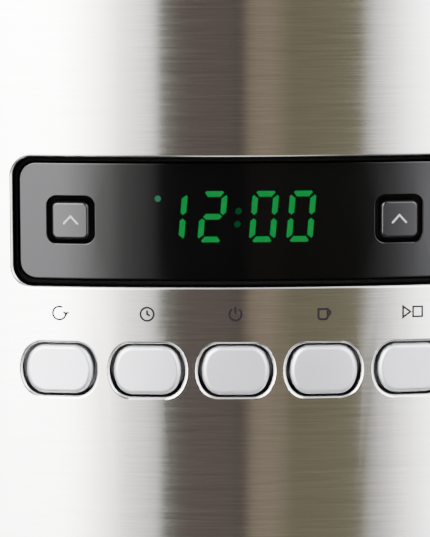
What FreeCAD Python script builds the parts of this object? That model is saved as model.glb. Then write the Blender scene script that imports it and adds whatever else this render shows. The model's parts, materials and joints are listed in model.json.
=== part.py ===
import FreeCAD, Part
import math
import os
import re
import Sketcher

# A programmable drip coffee maker with a thermal carafe. Millimetres, +Z up, front faces -Y.
# The origin is on the table, under the middle of the machine's box, carafe handle included.

SIZES = {
    # whole machine
    "body_width": 220, "body_depth": 280, "handle_overhang": 14,
    "front_radius": 240, "front_corner": 26, "rear_corner": 20, "wall": 2.5, "clearance": 0.2,
    "foot_height": 4, "base_rise": 42, "bay_height": 182, "head_height": 146, "lid_height": 12,
    "bay_depth": 170, "carafe_setback": 92, "deck_thickness": 2.5, "deck_drop": 2,
    # how far cuts run past the faces they open, and how far front cuts reach in
    "past": 1, "front_reach": 30,
    # screws and the fits round them
    "screw_radius": 1.5, "screw_fit": 0.05, "screw_room": 0.3, "case_screw_head": 3.2,
    "case_screw_rise": 1.6, "case_screw_length": 16, "board_screw_head": 2.8, "board_screw_rise": 1.5,
    # base
    "base_edge": 1.5, "base_roof": 4, "plate_lift": 1, "boss_outer": 4, "boss_solid": 10,
    "column_opening": 20, "base_screw_side": 22, "base_screw_front": 73, "base_screw_rear": 27,
    "foot_side": 30, "foot_front": 55, "foot_rear": 45, "foot_radius": 9, "foot_draft": 0.6,
    "vent_width": 4, "vent_length": 24, "vent_pitch": 12, "vent_front": 30, "vent_corner": 1.9,
    "gland_side": 50, "gland_height": 22, "gland_radius": 9, "gland_flange": 11, "gland_sleeve": 6.5,
    "gland_bore": 3.7, "gland_lip": 2, "gland_length": 14,
    "supply_side": 61, "supply_rear": 48, "supply_width": 66, "supply_rise": 4.5, "supply_post": 27.5,
    "supply_post_radius": 3, "transformer_side": 14, "transformer_back": 8, "core_width": 34,
    "core_depth": 30, "core_height": 24, "coil_width": 24, "coil_depth": 38, "coil_margin": 2.5,
    "relay_side": 18.5, "relay_back": 9, "relay_width": 19, "relay_depth": 16, "relay_height": 15.4,
    # steel front
    "steel_thickness": 1, "steel_reveal": 2, "lip_radius": 0.7,
    "window_drop": 59, "window_width": 111, "window_height": 32.3, "window_corner": 5,
    "groove_width": 1.35, "plateau_recess": 2.6, "groove_recess": 5.1, "window_back": 6.6,
    "plateau_edge": 0.6, "window_flange": 4, "opening_room": 2.5, "opening_corner": 6,
    "key_offset": 41, "key_rise": 0.3, "key_hole": 11.7, "key_hole_corner": 2.4, "key_hole_edge": 0.35,
    "key_gap": 1.2, "key_corner": 1.5, "key_proud": 2, "key_bevel": 0.65, "key_catch": 0.9, "travel": 1.2,
    "button_drop": 37.1, "button_gap": 3.2, "oval_half_width": 9.4, "oval_half_height": 6.7,
    "oval_corner": 5, "oval_side": 8.8, "cap_gap": 0.42, "cap_side_gap": 0.45, "cap_bevel": 1.3,
    "cap_catch": 0.6, "cap_reach": 6, "sleeve_wall": 1, "guide_plate": 2, "guide_side": 4,
    "guide_rise": 3, "guide_back": 11.5, "catch_thickness": 1, "catch_play": 0.3, "switch_gap": 1.3,
    "stem_radius": 2.5, "board_setback": 20, "board_thickness": 1.6, "board_width": 138,
    "board_height": 94, "board_drop": 13.5, "switch_half": 3, "switch_height": 3.2,
    "plunger_height": 0.8, "plunger_radius": 1.7, "post_radius": 3.5, "post_length": 9,
    "post_bore": 7, "post_offset": 64, "post_rise": 41.5, "board_screw_bite": 6,
    "module_width": 52, "module_height": 20, "module_shift": 1, "module_gap": 2.4,
    # brewing
    "chamber_radius": 60, "chamber_wall": 2, "chamber_floor": 4, "chamber_rim": 4, "chamber_lip": 1.4,
    "drip_hole": 17, "ledge_reach": 1.5, "ledge_root": 0.5, "ledge_height": 4, "basket_seat": 2,
    "basket_gap": 4, "basket_rim_drop": 8, "basket_wall": 2, "basket_taper": 6, "basket_play": 0.5,
    "boss_lift": 1, "boss_radius": 9, "boss_bore": 4.5, "seat_height": 22, "cone_height": 18,
    "bail_width": 4, "bail_height": 2.2, "mesh_lift": 8, "mesh_drop": 14, "mesh_gap": 4,
    "mesh_taper": 10, "mesh_wall": 0.8, "mesh_rim": 2, "drip_stem": 2.5, "drip_travel": 4,
    "foot_disc": 8, "foot_bevel": 1, "valve_cap": 2, "valve_seat_gap": 0.1, "valve_reach": 0.8,
    "spring_low": 4, "spring_high": 18, "spring_play": 0.4,
    # water
    "tank_side": 10, "tank_rear": 13, "tank_low": 150, "tank_rim_drop": 3.5, "tank_wall": 2,
    "tank_corner": 12, "tank_setback": 25, "outlet_length": 12, "hose_radius": 5, "hose_bore": 3.5,
    "cold_bend": 20, "hot_bend": 12, "riser_start": 14, "nozzle_grip": 3, "nozzle_flange": 8,
    "nozzle_radius": 6.5, "nozzle_gap": 0.6, "fill_side": 26, "fill_front": 3, "fill_rear": 10,
    "sight_half": 5, "sight_corner": 4.9, "sight_low": 20, "sight_high": 30, "sight_flange": 3,
    "sight_flange_depth": 2, "filter_side": 60, "filter_radius": 17, "filter_height": 38,
    "filter_shoulder": 4, "filter_stem": 3, "filter_knob": 9, "filter_knob_drop": 2,
    "filter_knob_height": 3, "filter_floor": 1.5, "filter_bore": 15.2, "filter_bore_height": 34.5,
    "filter_slot_low": 6, "filter_slot_high": 32, "filter_slot_pitch": 5, "cartridge_radius": 14.6,
    "cartridge_low": 2, "cartridge_high": 35,
    "boiler_radius": 44, "boiler_half": 8, "boiler_leg": 66, "boiler_low": 14, "boiler_height": 22,
    "bore_height": 16, "element_height": 6, "element_radius": 3.6, "element_tail": 8,
    "bracket_reach": 8, "bracket_width": 20, "bracket_sheet": 2, "thermostat_shift": 20,
    "thermostat_radius": 7, "thermostat_height": 5, "fuse_shift": 3, "fuse_radius": 2,
    "fuse_start": 12, "fuse_length": 16, "valve_length": 26, "valve_radius": 6.5,
    # lid
    "lid_wall": 2.5, "lid_gap": 0.4, "lid_edge": 4, "lid_corner": 0.2, "hinge_setback": 29,
    "hinge_room": 0.6, "hinge_relief": 3, "pin_radius": 2, "pin_play": 0.05, "pin_length": 12,
    "cheek": 4, "channel_half": 10, "channel_wall": 2, "channel_corner": 5, "channel_drop": 6,
    "channel_inlet": 5.5, "channel_seal_radius": 7, "channel_seal_height": 1.4, "shower_gap": 29,
    "shower_height": 8, "shower_wall": 1.5, "shower_hole": 1.3,
    # carafe
    "rest_inset": 2, "rest_recess": 2, "rest_proud": 0.8, "rest_gasket": 0.8, "rest_gasket_width": 5.6,
    "rest_gap": 0.3, "rest_bevel": 0.8, "belly_radius": 62, "foot_ring": 6, "ring_inset": 6,
    "ring_width": 8, "ring_bevel": 1,
    "neck_radius": 46, "neck_top": 192, "foot_taper": 6, "foot_curve": 24, "shoulder_height": 52,
    "vacuum_gap": 4, "shell_wall": 0.8, "collar_height": 12, "collar_rise": 6, "collar_wall": 4,
    "lip_height": 8, "lip_root": 12, "lip_tip": 3, "lip_reach": 8,
    "carafe_lid_gap": 1, "carafe_lid_height": 19, "carafe_lid_radius": 49.5, "carafe_lid_bevel": 2,
    "plug_gap": 0.5, "plug_depth": 12, "brew_hole": 4, "funnel_radius": 10, "funnel_depth": 8,
    "gasket_height": 0.7, "gasket_reach": 2, "pour_hole": 3,
    "handle_width": 22, "handle_grip": 13, "handle_top": 195, "handle_low": 84, "handle_bend": 16,
    "handle_inner_bend": 8, "handle_round": 4.5, "handle_slope": 3, "handle_bite": 2,
    "lever_half": 9, "lever_height": 6, "lever_drop": 11, "lever_gap": 0.5, "lever_pivot": 32,
    "lever_pivot_rise": 2.5, "lever_pin": 1.5, "lever_pin_end": 5, "slot_rear": 11, "slot_depth": 6,
    "slot_front": 60, "lever_nose": 58, "lever_nose_rise": 1.5, "lever_tail": 4,
    "pour_seal_setback": 6, "pour_seal_radius": 4.2, "pour_seal_height": 5.6, "carafe_air": 0.2,
}
TOUCH = 0.01  # how near, in millimetres, two places count as the same

doc = FreeCAD.newDocument("drip_coffee_maker")
sheet = doc.addObject("Spreadsheet::Sheet", "dims")
for row, (alias, size) in enumerate(SIZES.items(), start=1):
    sheet.set(f"A{row}", alias)
    sheet.set(f"B{row}", str(size))
    sheet.setAlias(f"B{row}", alias)
doc.recompute()

NODES = []
ORIGIN_POINT = (-1, 1)
SKETCH_NORMAL_SIGN = {"XY": 1, "XZ": -1, "YZ": 1}


# ---------------------------------------------------------------- places worked out from the sizes
FRONT = "(handle_overhang / 2 - body_depth / 2)"
BACK = "(handle_overhang / 2 + body_depth / 2)"
HALF = "(body_width / 2)"
ARC_Y = f"({FRONT} + front_radius)"
CARAFE_Y = f"({FRONT} + carafe_setback)"
COLUMN = f"({FRONT} + bay_depth)"
BASE_TOP = "(foot_height + base_rise)"
HEAD_LOW = f"({BASE_TOP} + bay_height)"
HEAD_TOP = f"({HEAD_LOW} + head_height)"
LID_LOW = f"({HEAD_TOP} + lid_gap)"
LID_TOP = f"({HEAD_TOP} + lid_height)"
DECK_TOP = f"({HEAD_TOP} - deck_drop)"
DECK_LOW = f"({DECK_TOP} - deck_thickness)"
PANEL_TOP = f"({HEAD_TOP} - steel_reveal)"
PANEL_LOW = f"({HEAD_LOW} + steel_reveal)"
WINDOW_Z = f"({PANEL_TOP} - window_drop)"
KEY_Z = f"({WINDOW_Z} + key_rise)"
BUTTON_Z = f"({WINDOW_Z} - button_drop)"
BUTTON_PITCH = "(2 * oval_half_width + button_gap)"
GUIDE_WIDTH = f"(4 * {BUTTON_PITCH} + 2 * oval_half_width + 2 * guide_side)"
GUIDE_HEIGHT = "(2 * oval_half_height + 2 * guide_rise)"
GUIDE_BACK = f"({FRONT} + guide_back)"
CATCH_FRONT = f"({GUIDE_BACK} + catch_play)"
CATCH_BACK = f"({CATCH_FRONT} + catch_thickness)"
BOARD_Y = f"({FRONT} + board_setback)"
BOARD_Z = f"({WINDOW_Z} - board_drop)"
PLUNGER_Y = f"({BOARD_Y} - switch_height - plunger_height)"
HINGE_Y = f"({BACK} - hinge_setback)"
HINGE_RADIUS = "((lid_height - lid_gap) / 2)"
HINGE_Z = f"({LID_LOW} + {HINGE_RADIUS})"
SHOWER_RADIUS = "(chamber_radius - shower_gap)"
CHAMBER_LOW = f"({HEAD_LOW} + chamber_floor)"
RIM_Z = f"({DECK_TOP} - basket_rim_drop)"
BOSS_LOW = f"({HEAD_LOW} + boss_lift)"
SEAT_Z = f"({BOSS_LOW} + seat_height)"
CONE_TOP = f"({SEAT_Z} + cone_height)"
TANK_FRONT = f"({COLUMN} + tank_setback)"
TANK_BACK = f"({BACK} - tank_rear)"
TANK_Y = f"(({TANK_FRONT} + {TANK_BACK}) / 2)"
TANK_DEPTH = f"({TANK_BACK} - {TANK_FRONT})"
TANK_WIDTH = "(body_width - 2 * tank_side)"
TANK_TOP = f"({DECK_LOW} - tank_rim_drop)"
FILTER_X = f"(filter_side - {HALF})"
RISER_Y = f"({COLUMN} + (wall + tank_setback) / 2)"
BOILER_END = f"({CARAFE_Y} + boiler_leg)"
BRACKET_HALF = "(boiler_radius + boiler_half + bracket_reach)"
BORE_Z = "(boiler_low + bore_height)"
PLATE_LOW = "(foot_height + plate_lift)"
PLATE_TOP = f"({PLATE_LOW} + wall)"
GLAND = (f"({HALF} - gland_side)", "gland_height")
SUPPLY_X = f"(supply_side - {HALF})"
SUPPLY_Y = f"({BACK} - supply_rear)"
SUPPLY_LOW = f"({PLATE_TOP} + supply_rise)"
SUPPLY_TOP = f"({SUPPLY_LOW} + board_thickness)"
SUPPLY_POSTS = [(f"({SUPPLY_X} {sx} supply_post)", f"({SUPPLY_Y} {sy} supply_post)")
                for sx in "+-" for sy in "+-"]
BASE_ROOF = f"({BASE_TOP} - base_roof)"
REST_RADIUS = "(belly_radius - rest_inset)"
REST_LOW = f"({BASE_TOP} - rest_recess)"
REST_TOP = f"({BASE_TOP} + rest_proud)"
CARAFE_LOW = f"({REST_TOP} + carafe_air)"
SHELL_LOW = f"({CARAFE_LOW} + foot_ring)"
COLLAR_LOW = "(neck_top - collar_rise)"
COLLAR_TOP = f"({COLLAR_LOW} + collar_height)"
LID_FLANGE = f"({COLLAR_TOP} + carafe_lid_gap)"
CARAFE_LID_TOP = f"({LID_FLANGE} + carafe_lid_height)"
VALVE_TIP = f"({CARAFE_LID_TOP} + valve_reach)"
LEVER_LOW = f"({CARAFE_LID_TOP} - lever_drop)"
SLOT_REAR = f"({CARAFE_Y} - slot_rear)"
LEVER_PIVOT_Y = f"({CARAFE_Y} - lever_pivot)"
LEVER_PIVOT_Z = f"({LEVER_LOW} + lever_pivot_rise)"
POUR_Y = f"({SLOT_REAR} - pour_seal_setback)"
AHEAD = f"({FRONT} - 2 * past)"
INSIDE = f"({FRONT} + front_reach)"
HINGE_BACK = f"({HINGE_Y} + {HINGE_RADIUS})"
HINGE_FRONT = f"({HINGE_Y} - {HINGE_RADIUS})"


def bound(text):
    """The expression with every size's name pointed at its cell."""
    return re.sub(r"[a-z_]+", lambda word: "dims." + word.group(0) if word.group(0) in SIZES
                  else word.group(0), str(text))


def value(text):
    """The number that an expression gives with the sheet as it stands."""
    return float(sheet.evalExpression(bound(text)))


# ---------------------------------------------------------------- sketches
def start_sketch(body, plane, level, across="0", up="0"):
    """An empty sketch on one of the body's origin planes, moved to a level along world +X, +Y or +Z."""
    sketch = body.newObject("Sketcher::SketchObject", "outline")
    base = [p for p in body.Origin.OriginFeatures if p.Role == plane + "_Plane"][0]
    sketch.AttachmentSupport = (base, [""])
    sketch.MapMode = "FlatFace"
    sign = "" if SKETCH_NORMAL_SIGN[plane] > 0 else "-"
    sketch.setExpression("AttachmentOffset.Base.z", bound(f"{sign}({level})"))
    sketch.setExpression("AttachmentOffset.Base.x", bound(across))
    sketch.setExpression("AttachmentOffset.Base.y", bound(up))
    return sketch


def bind(sketch, index, expression):
    """Ties a constraint to the sheet."""
    sketch.setExpression(f"Constraints[{index}]", bound(expression))


def draw_loop(sketch, points, arcs=None):
    """A closed loop through points; arcs gives the radius of an edge, negative where it bends inward."""
    arcs = arcs or {}
    corners = [FreeCAD.Vector(value(x), value(y), 0) for x, y in points]
    ends = []
    for index, start in enumerate(corners):
        end = corners[(index + 1) % len(corners)]
        if index in arcs:
            inward = str(arcs[index]).startswith("-")
            radius = abs(value(arcs[index]))
            chord = end - start
            middle = (start + end) * 0.5
            normal = FreeCAD.Vector(-chord.y, chord.x, 0).normalize()
            reach = math.sqrt(max(radius ** 2 - (chord.Length / 2) ** 2, 0))
            centre = middle - normal * reach if inward else middle + normal * reach
            first, last = (end, start) if inward else (start, end)
            angles = [math.atan2(p.y - centre.y, p.x - centre.x) for p in (first, last)]
            circle = Part.Circle(centre, FreeCAD.Vector(0, 0, 1), radius)
            edge = sketch.addGeometry(Part.ArcOfCircle(circle, *angles), False)
            ends.append((edge, 2, 1) if inward else (edge, 1, 2))
        else:
            ends.append((sketch.addGeometry(Part.LineSegment(start, end), False), 1, 2))
    for index, (edge, begin, finish) in enumerate(ends):
        following, following_begin, _ = ends[(index + 1) % len(ends)]
        sketch.addConstraint(Sketcher.Constraint("Coincident", edge, finish, following, following_begin))
    for (edge, begin, finish), corner, (x, y) in zip(ends, corners, points):
        bind(sketch, sketch.addConstraint(
            Sketcher.Constraint("DistanceX", *ORIGIN_POINT, edge, begin, corner.x)), x)
        bind(sketch, sketch.addConstraint(
            Sketcher.Constraint("DistanceY", *ORIGIN_POINT, edge, begin, corner.y)), y)
    for index, radius in arcs.items():
        size = str(radius).lstrip("-")
        bind(sketch, sketch.addConstraint(
            Sketcher.Constraint("Radius", ends[index][0], value(size))), size)


def draw_circle(sketch, x, y, radius):
    """A circle with its centre and radius tied to the sheet."""
    centre = FreeCAD.Vector(value(x), value(y), 0)
    circle = sketch.addGeometry(Part.Circle(centre, FreeCAD.Vector(0, 0, 1), value(radius)), False)
    bind(sketch, sketch.addConstraint(Sketcher.Constraint("Radius", circle, value(radius))), radius)
    bind(sketch, sketch.addConstraint(
        Sketcher.Constraint("DistanceX", *ORIGIN_POINT, circle, 3, centre.x)), x)
    bind(sketch, sketch.addConstraint(
        Sketcher.Constraint("DistanceY", *ORIGIN_POINT, circle, 3, centre.y)), y)


# ---------------------------------------------------------------- outlines: (points, arcs)
def rectangle(x0, x1, y0, y1, corner=None):
    """A rectangle, with round corners if corner is given."""
    if corner is None:
        return [(x0, y0), (x1, y0), (x1, y1), (x0, y1)], {}
    points = [(f"{x0} + {corner}", y0), (f"{x1} - {corner}", y0), (x1, f"{y0} + {corner}"),
              (x1, f"{y1} - {corner}"), (f"{x1} - {corner}", y1), (f"{x0} + {corner}", y1),
              (x0, f"{y1} - {corner}"), (x0, f"{y0} + {corner}")]
    return points, {index: f"({corner})" for index in (1, 3, 5, 7)}


def centred(x, y, width, height, corner=None):
    """A rectangle about its centre."""
    return rectangle(f"({x} - ({width}) / 2)", f"({x} + ({width}) / 2)",
                     f"({y} - ({height}) / 2)", f"({y} + ({height}) / 2)", corner)


def oval(x, z, inset, narrower="0"):
    """A key's oval: flat top and bottom, round corners and gently bowed ends."""
    half_height = f"(oval_half_height - ({inset}))"
    side = f"(oval_side - ({inset}))"
    corner = f"(oval_corner - ({inset}))"
    side_x = f"(oval_half_width - {narrower} - oval_side)"
    reach = "(oval_side - oval_corner)"
    drop = "(oval_half_height - oval_corner)"
    run = f"sqrt({reach} ^ 2 - {drop} ^ 2)"
    flat = f"({side_x} + {run})"
    end_x = f"({side_x} + {side} * {run} / {reach})"
    end_z = f"({side} * {drop} / {reach})"
    points = [(f"{x} - {flat}", f"{z} - {half_height}"), (f"{x} + {flat}", f"{z} - {half_height}"),
              (f"{x} + {end_x}", f"{z} - {end_z}"), (f"{x} + {end_x}", f"{z} + {end_z}"),
              (f"{x} + {flat}", f"{z} + {half_height}"), (f"{x} - {flat}", f"{z} + {half_height}"),
              (f"{x} - {end_x}", f"{z} + {end_z}"), (f"{x} - {end_x}", f"{z} - {end_z}")]
    return points, {1: corner, 2: side, 3: corner, 5: corner, 6: side, 7: corner}


def plan(inset="0", back=BACK, rear_corner="rear_corner"):
    """The machine's outline from above: a bowed front, round front corners, straight sides."""
    half = f"({HALF} - ({inset}))"
    radius = f"(front_radius - ({inset}))"
    corner = f"(front_corner - ({inset}))"
    rear = f"({rear_corner} - ({inset}))"
    rear_y = f"({back} - ({inset}))"
    corner_x = f"({HALF} - front_corner)"
    reach = "(front_radius - front_corner)"
    drop = f"sqrt({reach} ^ 2 - {corner_x} ^ 2)"
    corner_y = f"({ARC_Y} - {drop})"
    front_x = f"({corner_x} * {radius} / {reach})"
    front_y = f"({ARC_Y} - {drop} * {radius} / {reach})"
    points = [(f"-{front_x}", front_y), (front_x, front_y), (half, corner_y),
              (half, f"{rear_y} - {rear}"), (f"{half} - {rear}", rear_y),
              (f"{rear} - {half}", rear_y), (f"-{half}", f"{rear_y} - {rear}"),
              (f"-{half}", corner_y)]
    return points, {0: radius, 1: corner, 3: rear, 5: rear, 7: corner}


# ---------------------------------------------------------------- features
def node(piece, name):
    """Names a finished piece: its label names its file."""
    piece.Label = name
    NODES.append(piece)
    return piece


def new_body(name):
    return doc.addObject("PartDesign::Body", name)


def fill_sketch(sketch, loops, circles=()):
    for points, arcs in loops:
        draw_loop(sketch, points, arcs)
    for circle in circles:
        draw_circle(sketch, *circle)


def pad(body, plane, low, high, loops, circles=()):
    """Material between two levels along the plane's world axis."""
    start = low if SKETCH_NORMAL_SIGN[plane] > 0 else high
    sketch = start_sketch(body, plane, start)
    fill_sketch(sketch, loops, circles)
    feature = body.newObject("PartDesign::Pad", "pad")
    feature.Profile = sketch
    feature.setExpression("Length", bound(f"{high} - ({low})"))
    return feature


def pocket(body, plane, low, high, loops, circles=()):
    """A cut between two levels along the plane's world axis."""
    start = high if SKETCH_NORMAL_SIGN[plane] > 0 else low
    sketch = start_sketch(body, plane, start)
    fill_sketch(sketch, loops, circles)
    feature = body.newObject("PartDesign::Pocket", "pocket")
    feature.Profile = sketch
    feature.setExpression("Length", bound(f"{high} - ({low})"))
    return feature


def turned(body, points, centre_y=CARAFE_Y, arcs=None, kind="Revolution", centre_x="0"):
    """A turned shape: points are (radius, height) about a vertical axis."""
    sketch = start_sketch(body, "XZ", centre_y, across=centre_x)
    draw_loop(sketch, points, arcs)
    feature = body.newObject("PartDesign::" + kind, kind.lower())
    feature.Profile = sketch
    feature.ReferenceAxis = (sketch, ["V_Axis"])
    feature.Angle = 360
    return feature


def round_edges(body, radius, chooser, kind="Fillet"):
    """Rounds or bevels the edges that chooser picks from the body as it stands."""
    doc.recompute()
    names = [f"Edge{number}" for number, edge in enumerate(body.Shape.Edges, start=1) if chooser(edge)]
    base = body.Tip
    feature = body.newObject("PartDesign::" + kind, kind.lower())
    feature.Base = (base, names)
    feature.setExpression("Radius" if kind == "Fillet" else "Size", bound(radius))
    return feature


def box(name, x0, x1, y0, y1, z0, z1):
    piece = doc.addObject("Part::Box", name)
    for side, low, high in (("Length", x0, x1), ("Width", y0, y1), ("Height", z0, z1)):
        piece.setExpression(side, bound(f"{high} - ({low})"))
    for axis, low in zip("xyz", (x0, y0, z0)):
        piece.setExpression(f"Placement.Base.{axis}", bound(low))
    return piece


def block_at(name, x, y, width, depth, low, high):
    """A block about a point in plan, between two heights."""
    return box(name, f"{x} - {width} / 2", f"{x} + {width} / 2", f"{y} - {depth} / 2", f"{y} + {depth} / 2",
               low, high)


TURNS = {"x": FreeCAD.Rotation(FreeCAD.Vector(0, 1, 0), 90),
         "y": FreeCAD.Rotation(FreeCAD.Vector(1, 0, 0), -90), "z": FreeCAD.Rotation()}


def rod(name, axis, x, y, z, radius, length):
    """A cylinder that starts at a point and runs along +x, +y or +z."""
    piece = doc.addObject("Part::Cylinder", name)
    piece.Placement.Rotation = TURNS[axis]
    piece.setExpression("Radius", bound(radius))
    piece.setExpression("Height", bound(length))
    for direction, place in zip("xyz", (x, y, z)):
        piece.setExpression(f"Placement.Base.{direction}", bound(place))
    return piece


def fuse(name, shapes):
    piece = doc.addObject("Part::MultiFuse", name)
    piece.Shapes = shapes
    return piece


def cut(name, base, tool):
    piece = doc.addObject("Part::Cut", name)
    piece.Base = base
    piece.Tool = tool
    return piece


def common(name, one, other):
    piece = doc.addObject("Part::MultiCommon", name)
    piece.Shapes = [one, other]
    return piece


def group(name, solids):
    piece = doc.addObject("Part::Compound", name)
    piece.Links = solids
    return piece


def prism(name, plane, low, high, loops, circles=()):
    """A straight block of any outline, for use in booleans."""
    body = new_body(name)
    pad(body, plane, low, high, loops, circles)
    return body


def drum(name, radius):
    """A tall cylinder about the axis of the bowed front."""
    return rod(name, "z", "0", ARC_Y, "0", radius, LID_TOP)


def behind_front(name, shape, recess):
    """The part of a shape that lies behind a surface set back from the bowed front."""
    return common(name, shape, drum(name + "_drum", f"front_radius - ({recess})"))


def before_front(name, shape, recess):
    """The part of a shape that stands in front of a surface set back from the bowed front."""
    return cut(name, shape, drum(name + "_drum", f"front_radius - ({recess})"))


def rounded(name, shape, radius, chooser):
    """A rounded copy of a boolean shape."""
    doc.recompute()
    piece = doc.addObject("Part::Fillet", name)
    piece.Base = shape
    size = value(radius)
    piece.Edges = [(number, size, size) for number, edge in enumerate(shape.Shape.Edges, start=1)
                   if chooser(edge)]
    return piece


def front_distance(point):
    """How far a point is from the axis of the bowed front."""
    return math.hypot(point.x, point.y - value(ARC_Y))


def on_front(recess):
    """Chooses edges that lie on the surface set back from the bowed front."""
    target = value(f"front_radius - ({recess})")

    def chooser(edge):
        first, last = edge.ParameterRange
        places = [edge.valueAt(first + (last - first) * share) for share in (0, 0.35, 1)]
        return all(abs(front_distance(place) - target) < 2 * TOUCH for place in places)
    return chooser


def tube(name, points, bend, outer, inner):
    """A round hose: straight runs joined by tangent arcs, with a bore."""
    corners = [FreeCAD.Vector(*[value(c) for c in point]) for point in points]
    radius = value(bend)
    edges = []
    start = corners[0]
    for before, corner, after in zip(corners, corners[1:], corners[2:]):
        entering = (corner - before).normalize()
        leaving = (after - corner).normalize()
        turn = entering.getAngle(leaving)
        setback = radius * math.tan(turn / 2)
        first = corner - entering * setback
        last = corner + leaving * setback
        inside = (leaving - entering).normalize()
        middle = corner + inside * (radius / math.cos(turn / 2) - radius)
        edges.append(Part.LineSegment(start, first).toShape())
        edges.append(Part.Arc(first, middle, last).toShape())
        start = last
    edges.append(Part.LineSegment(start, corners[-1]).toShape())
    path = Part.Wire(edges)
    direction = (corners[1] - corners[0]).normalize()
    solids = []
    for size in (value(outer), value(inner)):
        ring = Part.Wire(Part.Circle(corners[0], direction, size).toShape())
        solids.append(path.makePipeShell([ring], True, False))
    piece = doc.addObject("Part::Feature", name)
    piece.Shape = solids[0].cut(solids[1])
    return node(piece, name)


# ---------------------------------------------------------------- base
SCREW_SPOTS = [(f"{sx}({HALF} - base_screw_side)", y) for sx in ("-", "")
               for y in (f"({FRONT} + base_screw_front)", f"({BACK} - base_screw_rear)")]
FOOT_SPOTS = [(f"{sx}({HALF} - foot_side)", y) for sx in ("-", "")
              for y in (f"({FRONT} + foot_front)", f"({BACK} - foot_rear)")]


def make_base_shell():
    body = new_body("base_shell")
    pad(body, "XY", "foot_height", BASE_TOP, [plan()])
    round_edges(body, "base_edge", lambda edge: abs(edge.BoundBox.ZMin - value(BASE_TOP)) < TOUCH)
    pocket(body, "XY", "foot_height", BASE_ROOF, [plan("wall")])
    pocket(body, "XY", REST_LOW, f"{BASE_TOP} + past", [], [("0", CARAFE_Y, REST_RADIUS)])
    pocket(body, "XY", f"{BASE_ROOF} - past", f"{BASE_TOP} + past",
           [rectangle(f"-({HALF} - column_opening)", f"({HALF} - column_opening)",
                      f"({COLUMN} + wall + past)", f"({BACK} - column_opening)")])
    pad(body, "XY", PLATE_TOP, f"{BASE_ROOF} + past", [], [(x, y, "boss_outer") for x, y in SCREW_SPOTS])
    pocket(body, "XY", PLATE_TOP, f"{BASE_ROOF} - boss_solid", [],
           [(x, y, "screw_radius + screw_fit") for x, y in SCREW_SPOTS])
    pocket(body, "XZ", f"{BACK} - wall - past", f"{BACK} + past", [], [(*GLAND, "gland_radius")])
    return node(body, "base_shell")


def make_base_plate():
    body = new_body("base_plate")
    pad(body, "XY", PLATE_LOW, PLATE_TOP, [plan("wall + clearance")])
    pocket(body, "XY", f"{PLATE_LOW} - past", f"{PLATE_TOP} + past", [],
           [(x, y, "screw_radius + screw_room") for x, y in SCREW_SPOTS])
    slots = [centred(f"(vent_pitch * {step})", f"({FRONT} + vent_front)", "vent_width", "vent_length",
                     "vent_corner") for step in range(-5, 6)]
    pocket(body, "XY", f"{PLATE_LOW} - past", f"{PLATE_TOP} + past", slots)
    pad(body, "XY", PLATE_TOP, SUPPLY_LOW, [], [(x, y, "supply_post_radius") for x, y in SUPPLY_POSTS])
    return node(body, "base_plate")


def make_feet():
    solids = []
    for number, (x, y) in enumerate(FOOT_SPOTS):
        foot = doc.addObject("Part::Cone", f"foot_{number}")
        foot.setExpression("Radius1", bound("foot_radius - foot_draft"))
        foot.setExpression("Radius2", bound("foot_radius"))
        foot.setExpression("Height", bound(PLATE_LOW))
        foot.setExpression("Placement.Base.x", bound(x))
        foot.setExpression("Placement.Base.y", bound(y))
        solids.append(foot)
    return node(group("rubber_feet", solids), "rubber_feet")


def make_case_screws():
    solids = []
    for number, (x, y) in enumerate(SCREW_SPOTS):
        low = f"{PLATE_LOW} - case_screw_rise"
        head = rod(f"case_head_{number}", "z", x, y, low, "case_screw_head", "case_screw_rise")
        shank = rod(f"case_shank_{number}", "z", x, y, low, "screw_radius", "case_screw_length")
        solids.append(fuse(f"case_screw_{number}", [head, shank]))
    return node(group("case_screws", solids), "case_screws")


def make_rest_plate():
    body = new_body("carafe_rest_plate")
    edge = f"{REST_RADIUS} - rest_gap"
    gasket_top = f"{REST_LOW} + rest_gasket"
    turned(body, [("0", gasket_top), (edge, gasket_top), (edge, f"{REST_TOP} - rest_bevel"),
                  (f"{edge} - rest_bevel", REST_TOP), ("0", REST_TOP)])
    gasket = new_body("rest_plate_gasket")
    inner = f"{edge} - rest_gasket_width"
    turned(gasket, [(inner, REST_LOW), (edge, REST_LOW), (edge, gasket_top), (inner, gasket_top)])
    return node(body, "carafe_rest_plate"), node(gasket, "rest_plate_gasket")


def u_outline(outer_radius, inner_radius, end_y):
    """A U in plan about the carafe's axis, open to the rear."""
    points = [(f"-({outer_radius})", CARAFE_Y), ("0", f"({CARAFE_Y} - {outer_radius})"),
              (outer_radius, CARAFE_Y), (outer_radius, end_y), (inner_radius, end_y),
              (inner_radius, CARAFE_Y), ("0", f"({CARAFE_Y} - {inner_radius})"),
              (f"-({inner_radius})", CARAFE_Y), (f"-({inner_radius})", end_y),
              (f"-({outer_radius})", end_y)]
    return points, {0: f"({outer_radius})", 1: f"({outer_radius})",
                    5: f"-({inner_radius})", 6: f"-({inner_radius})"}


def make_boiler():
    """The aluminium casting with a water channel, and the heating rod in the groove under it."""
    outer = "(boiler_radius + boiler_half)"
    inner = "(boiler_radius - boiler_half)"
    rod_outer = "(boiler_radius + element_radius)"
    rod_inner = "(boiler_radius - element_radius)"
    low = "(boiler_low)"
    body = new_body("boiler_casting")
    pad(body, "XY", low, f"{low} + boiler_height", [u_outline(outer, inner, BOILER_END)])
    pocket(body, "XY", f"{BORE_Z} - hose_bore", f"{BORE_Z} + hose_bore",
           [u_outline("(boiler_radius + hose_bore)", "(boiler_radius - hose_bore)", BOILER_END)])
    pocket(body, "XY", f"{low} - past", f"{low} + element_height",
           [u_outline(rod_outer, rod_inner, f"({BOILER_END} + past)")])
    element = new_body("heating_element")
    pad(element, "XY", low, f"{low} + element_height",
        [u_outline(rod_outer, rod_inner, f"({BOILER_END} + element_tail)")])
    return node(body, "boiler_casting"), node(element, "heating_element")


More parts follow.
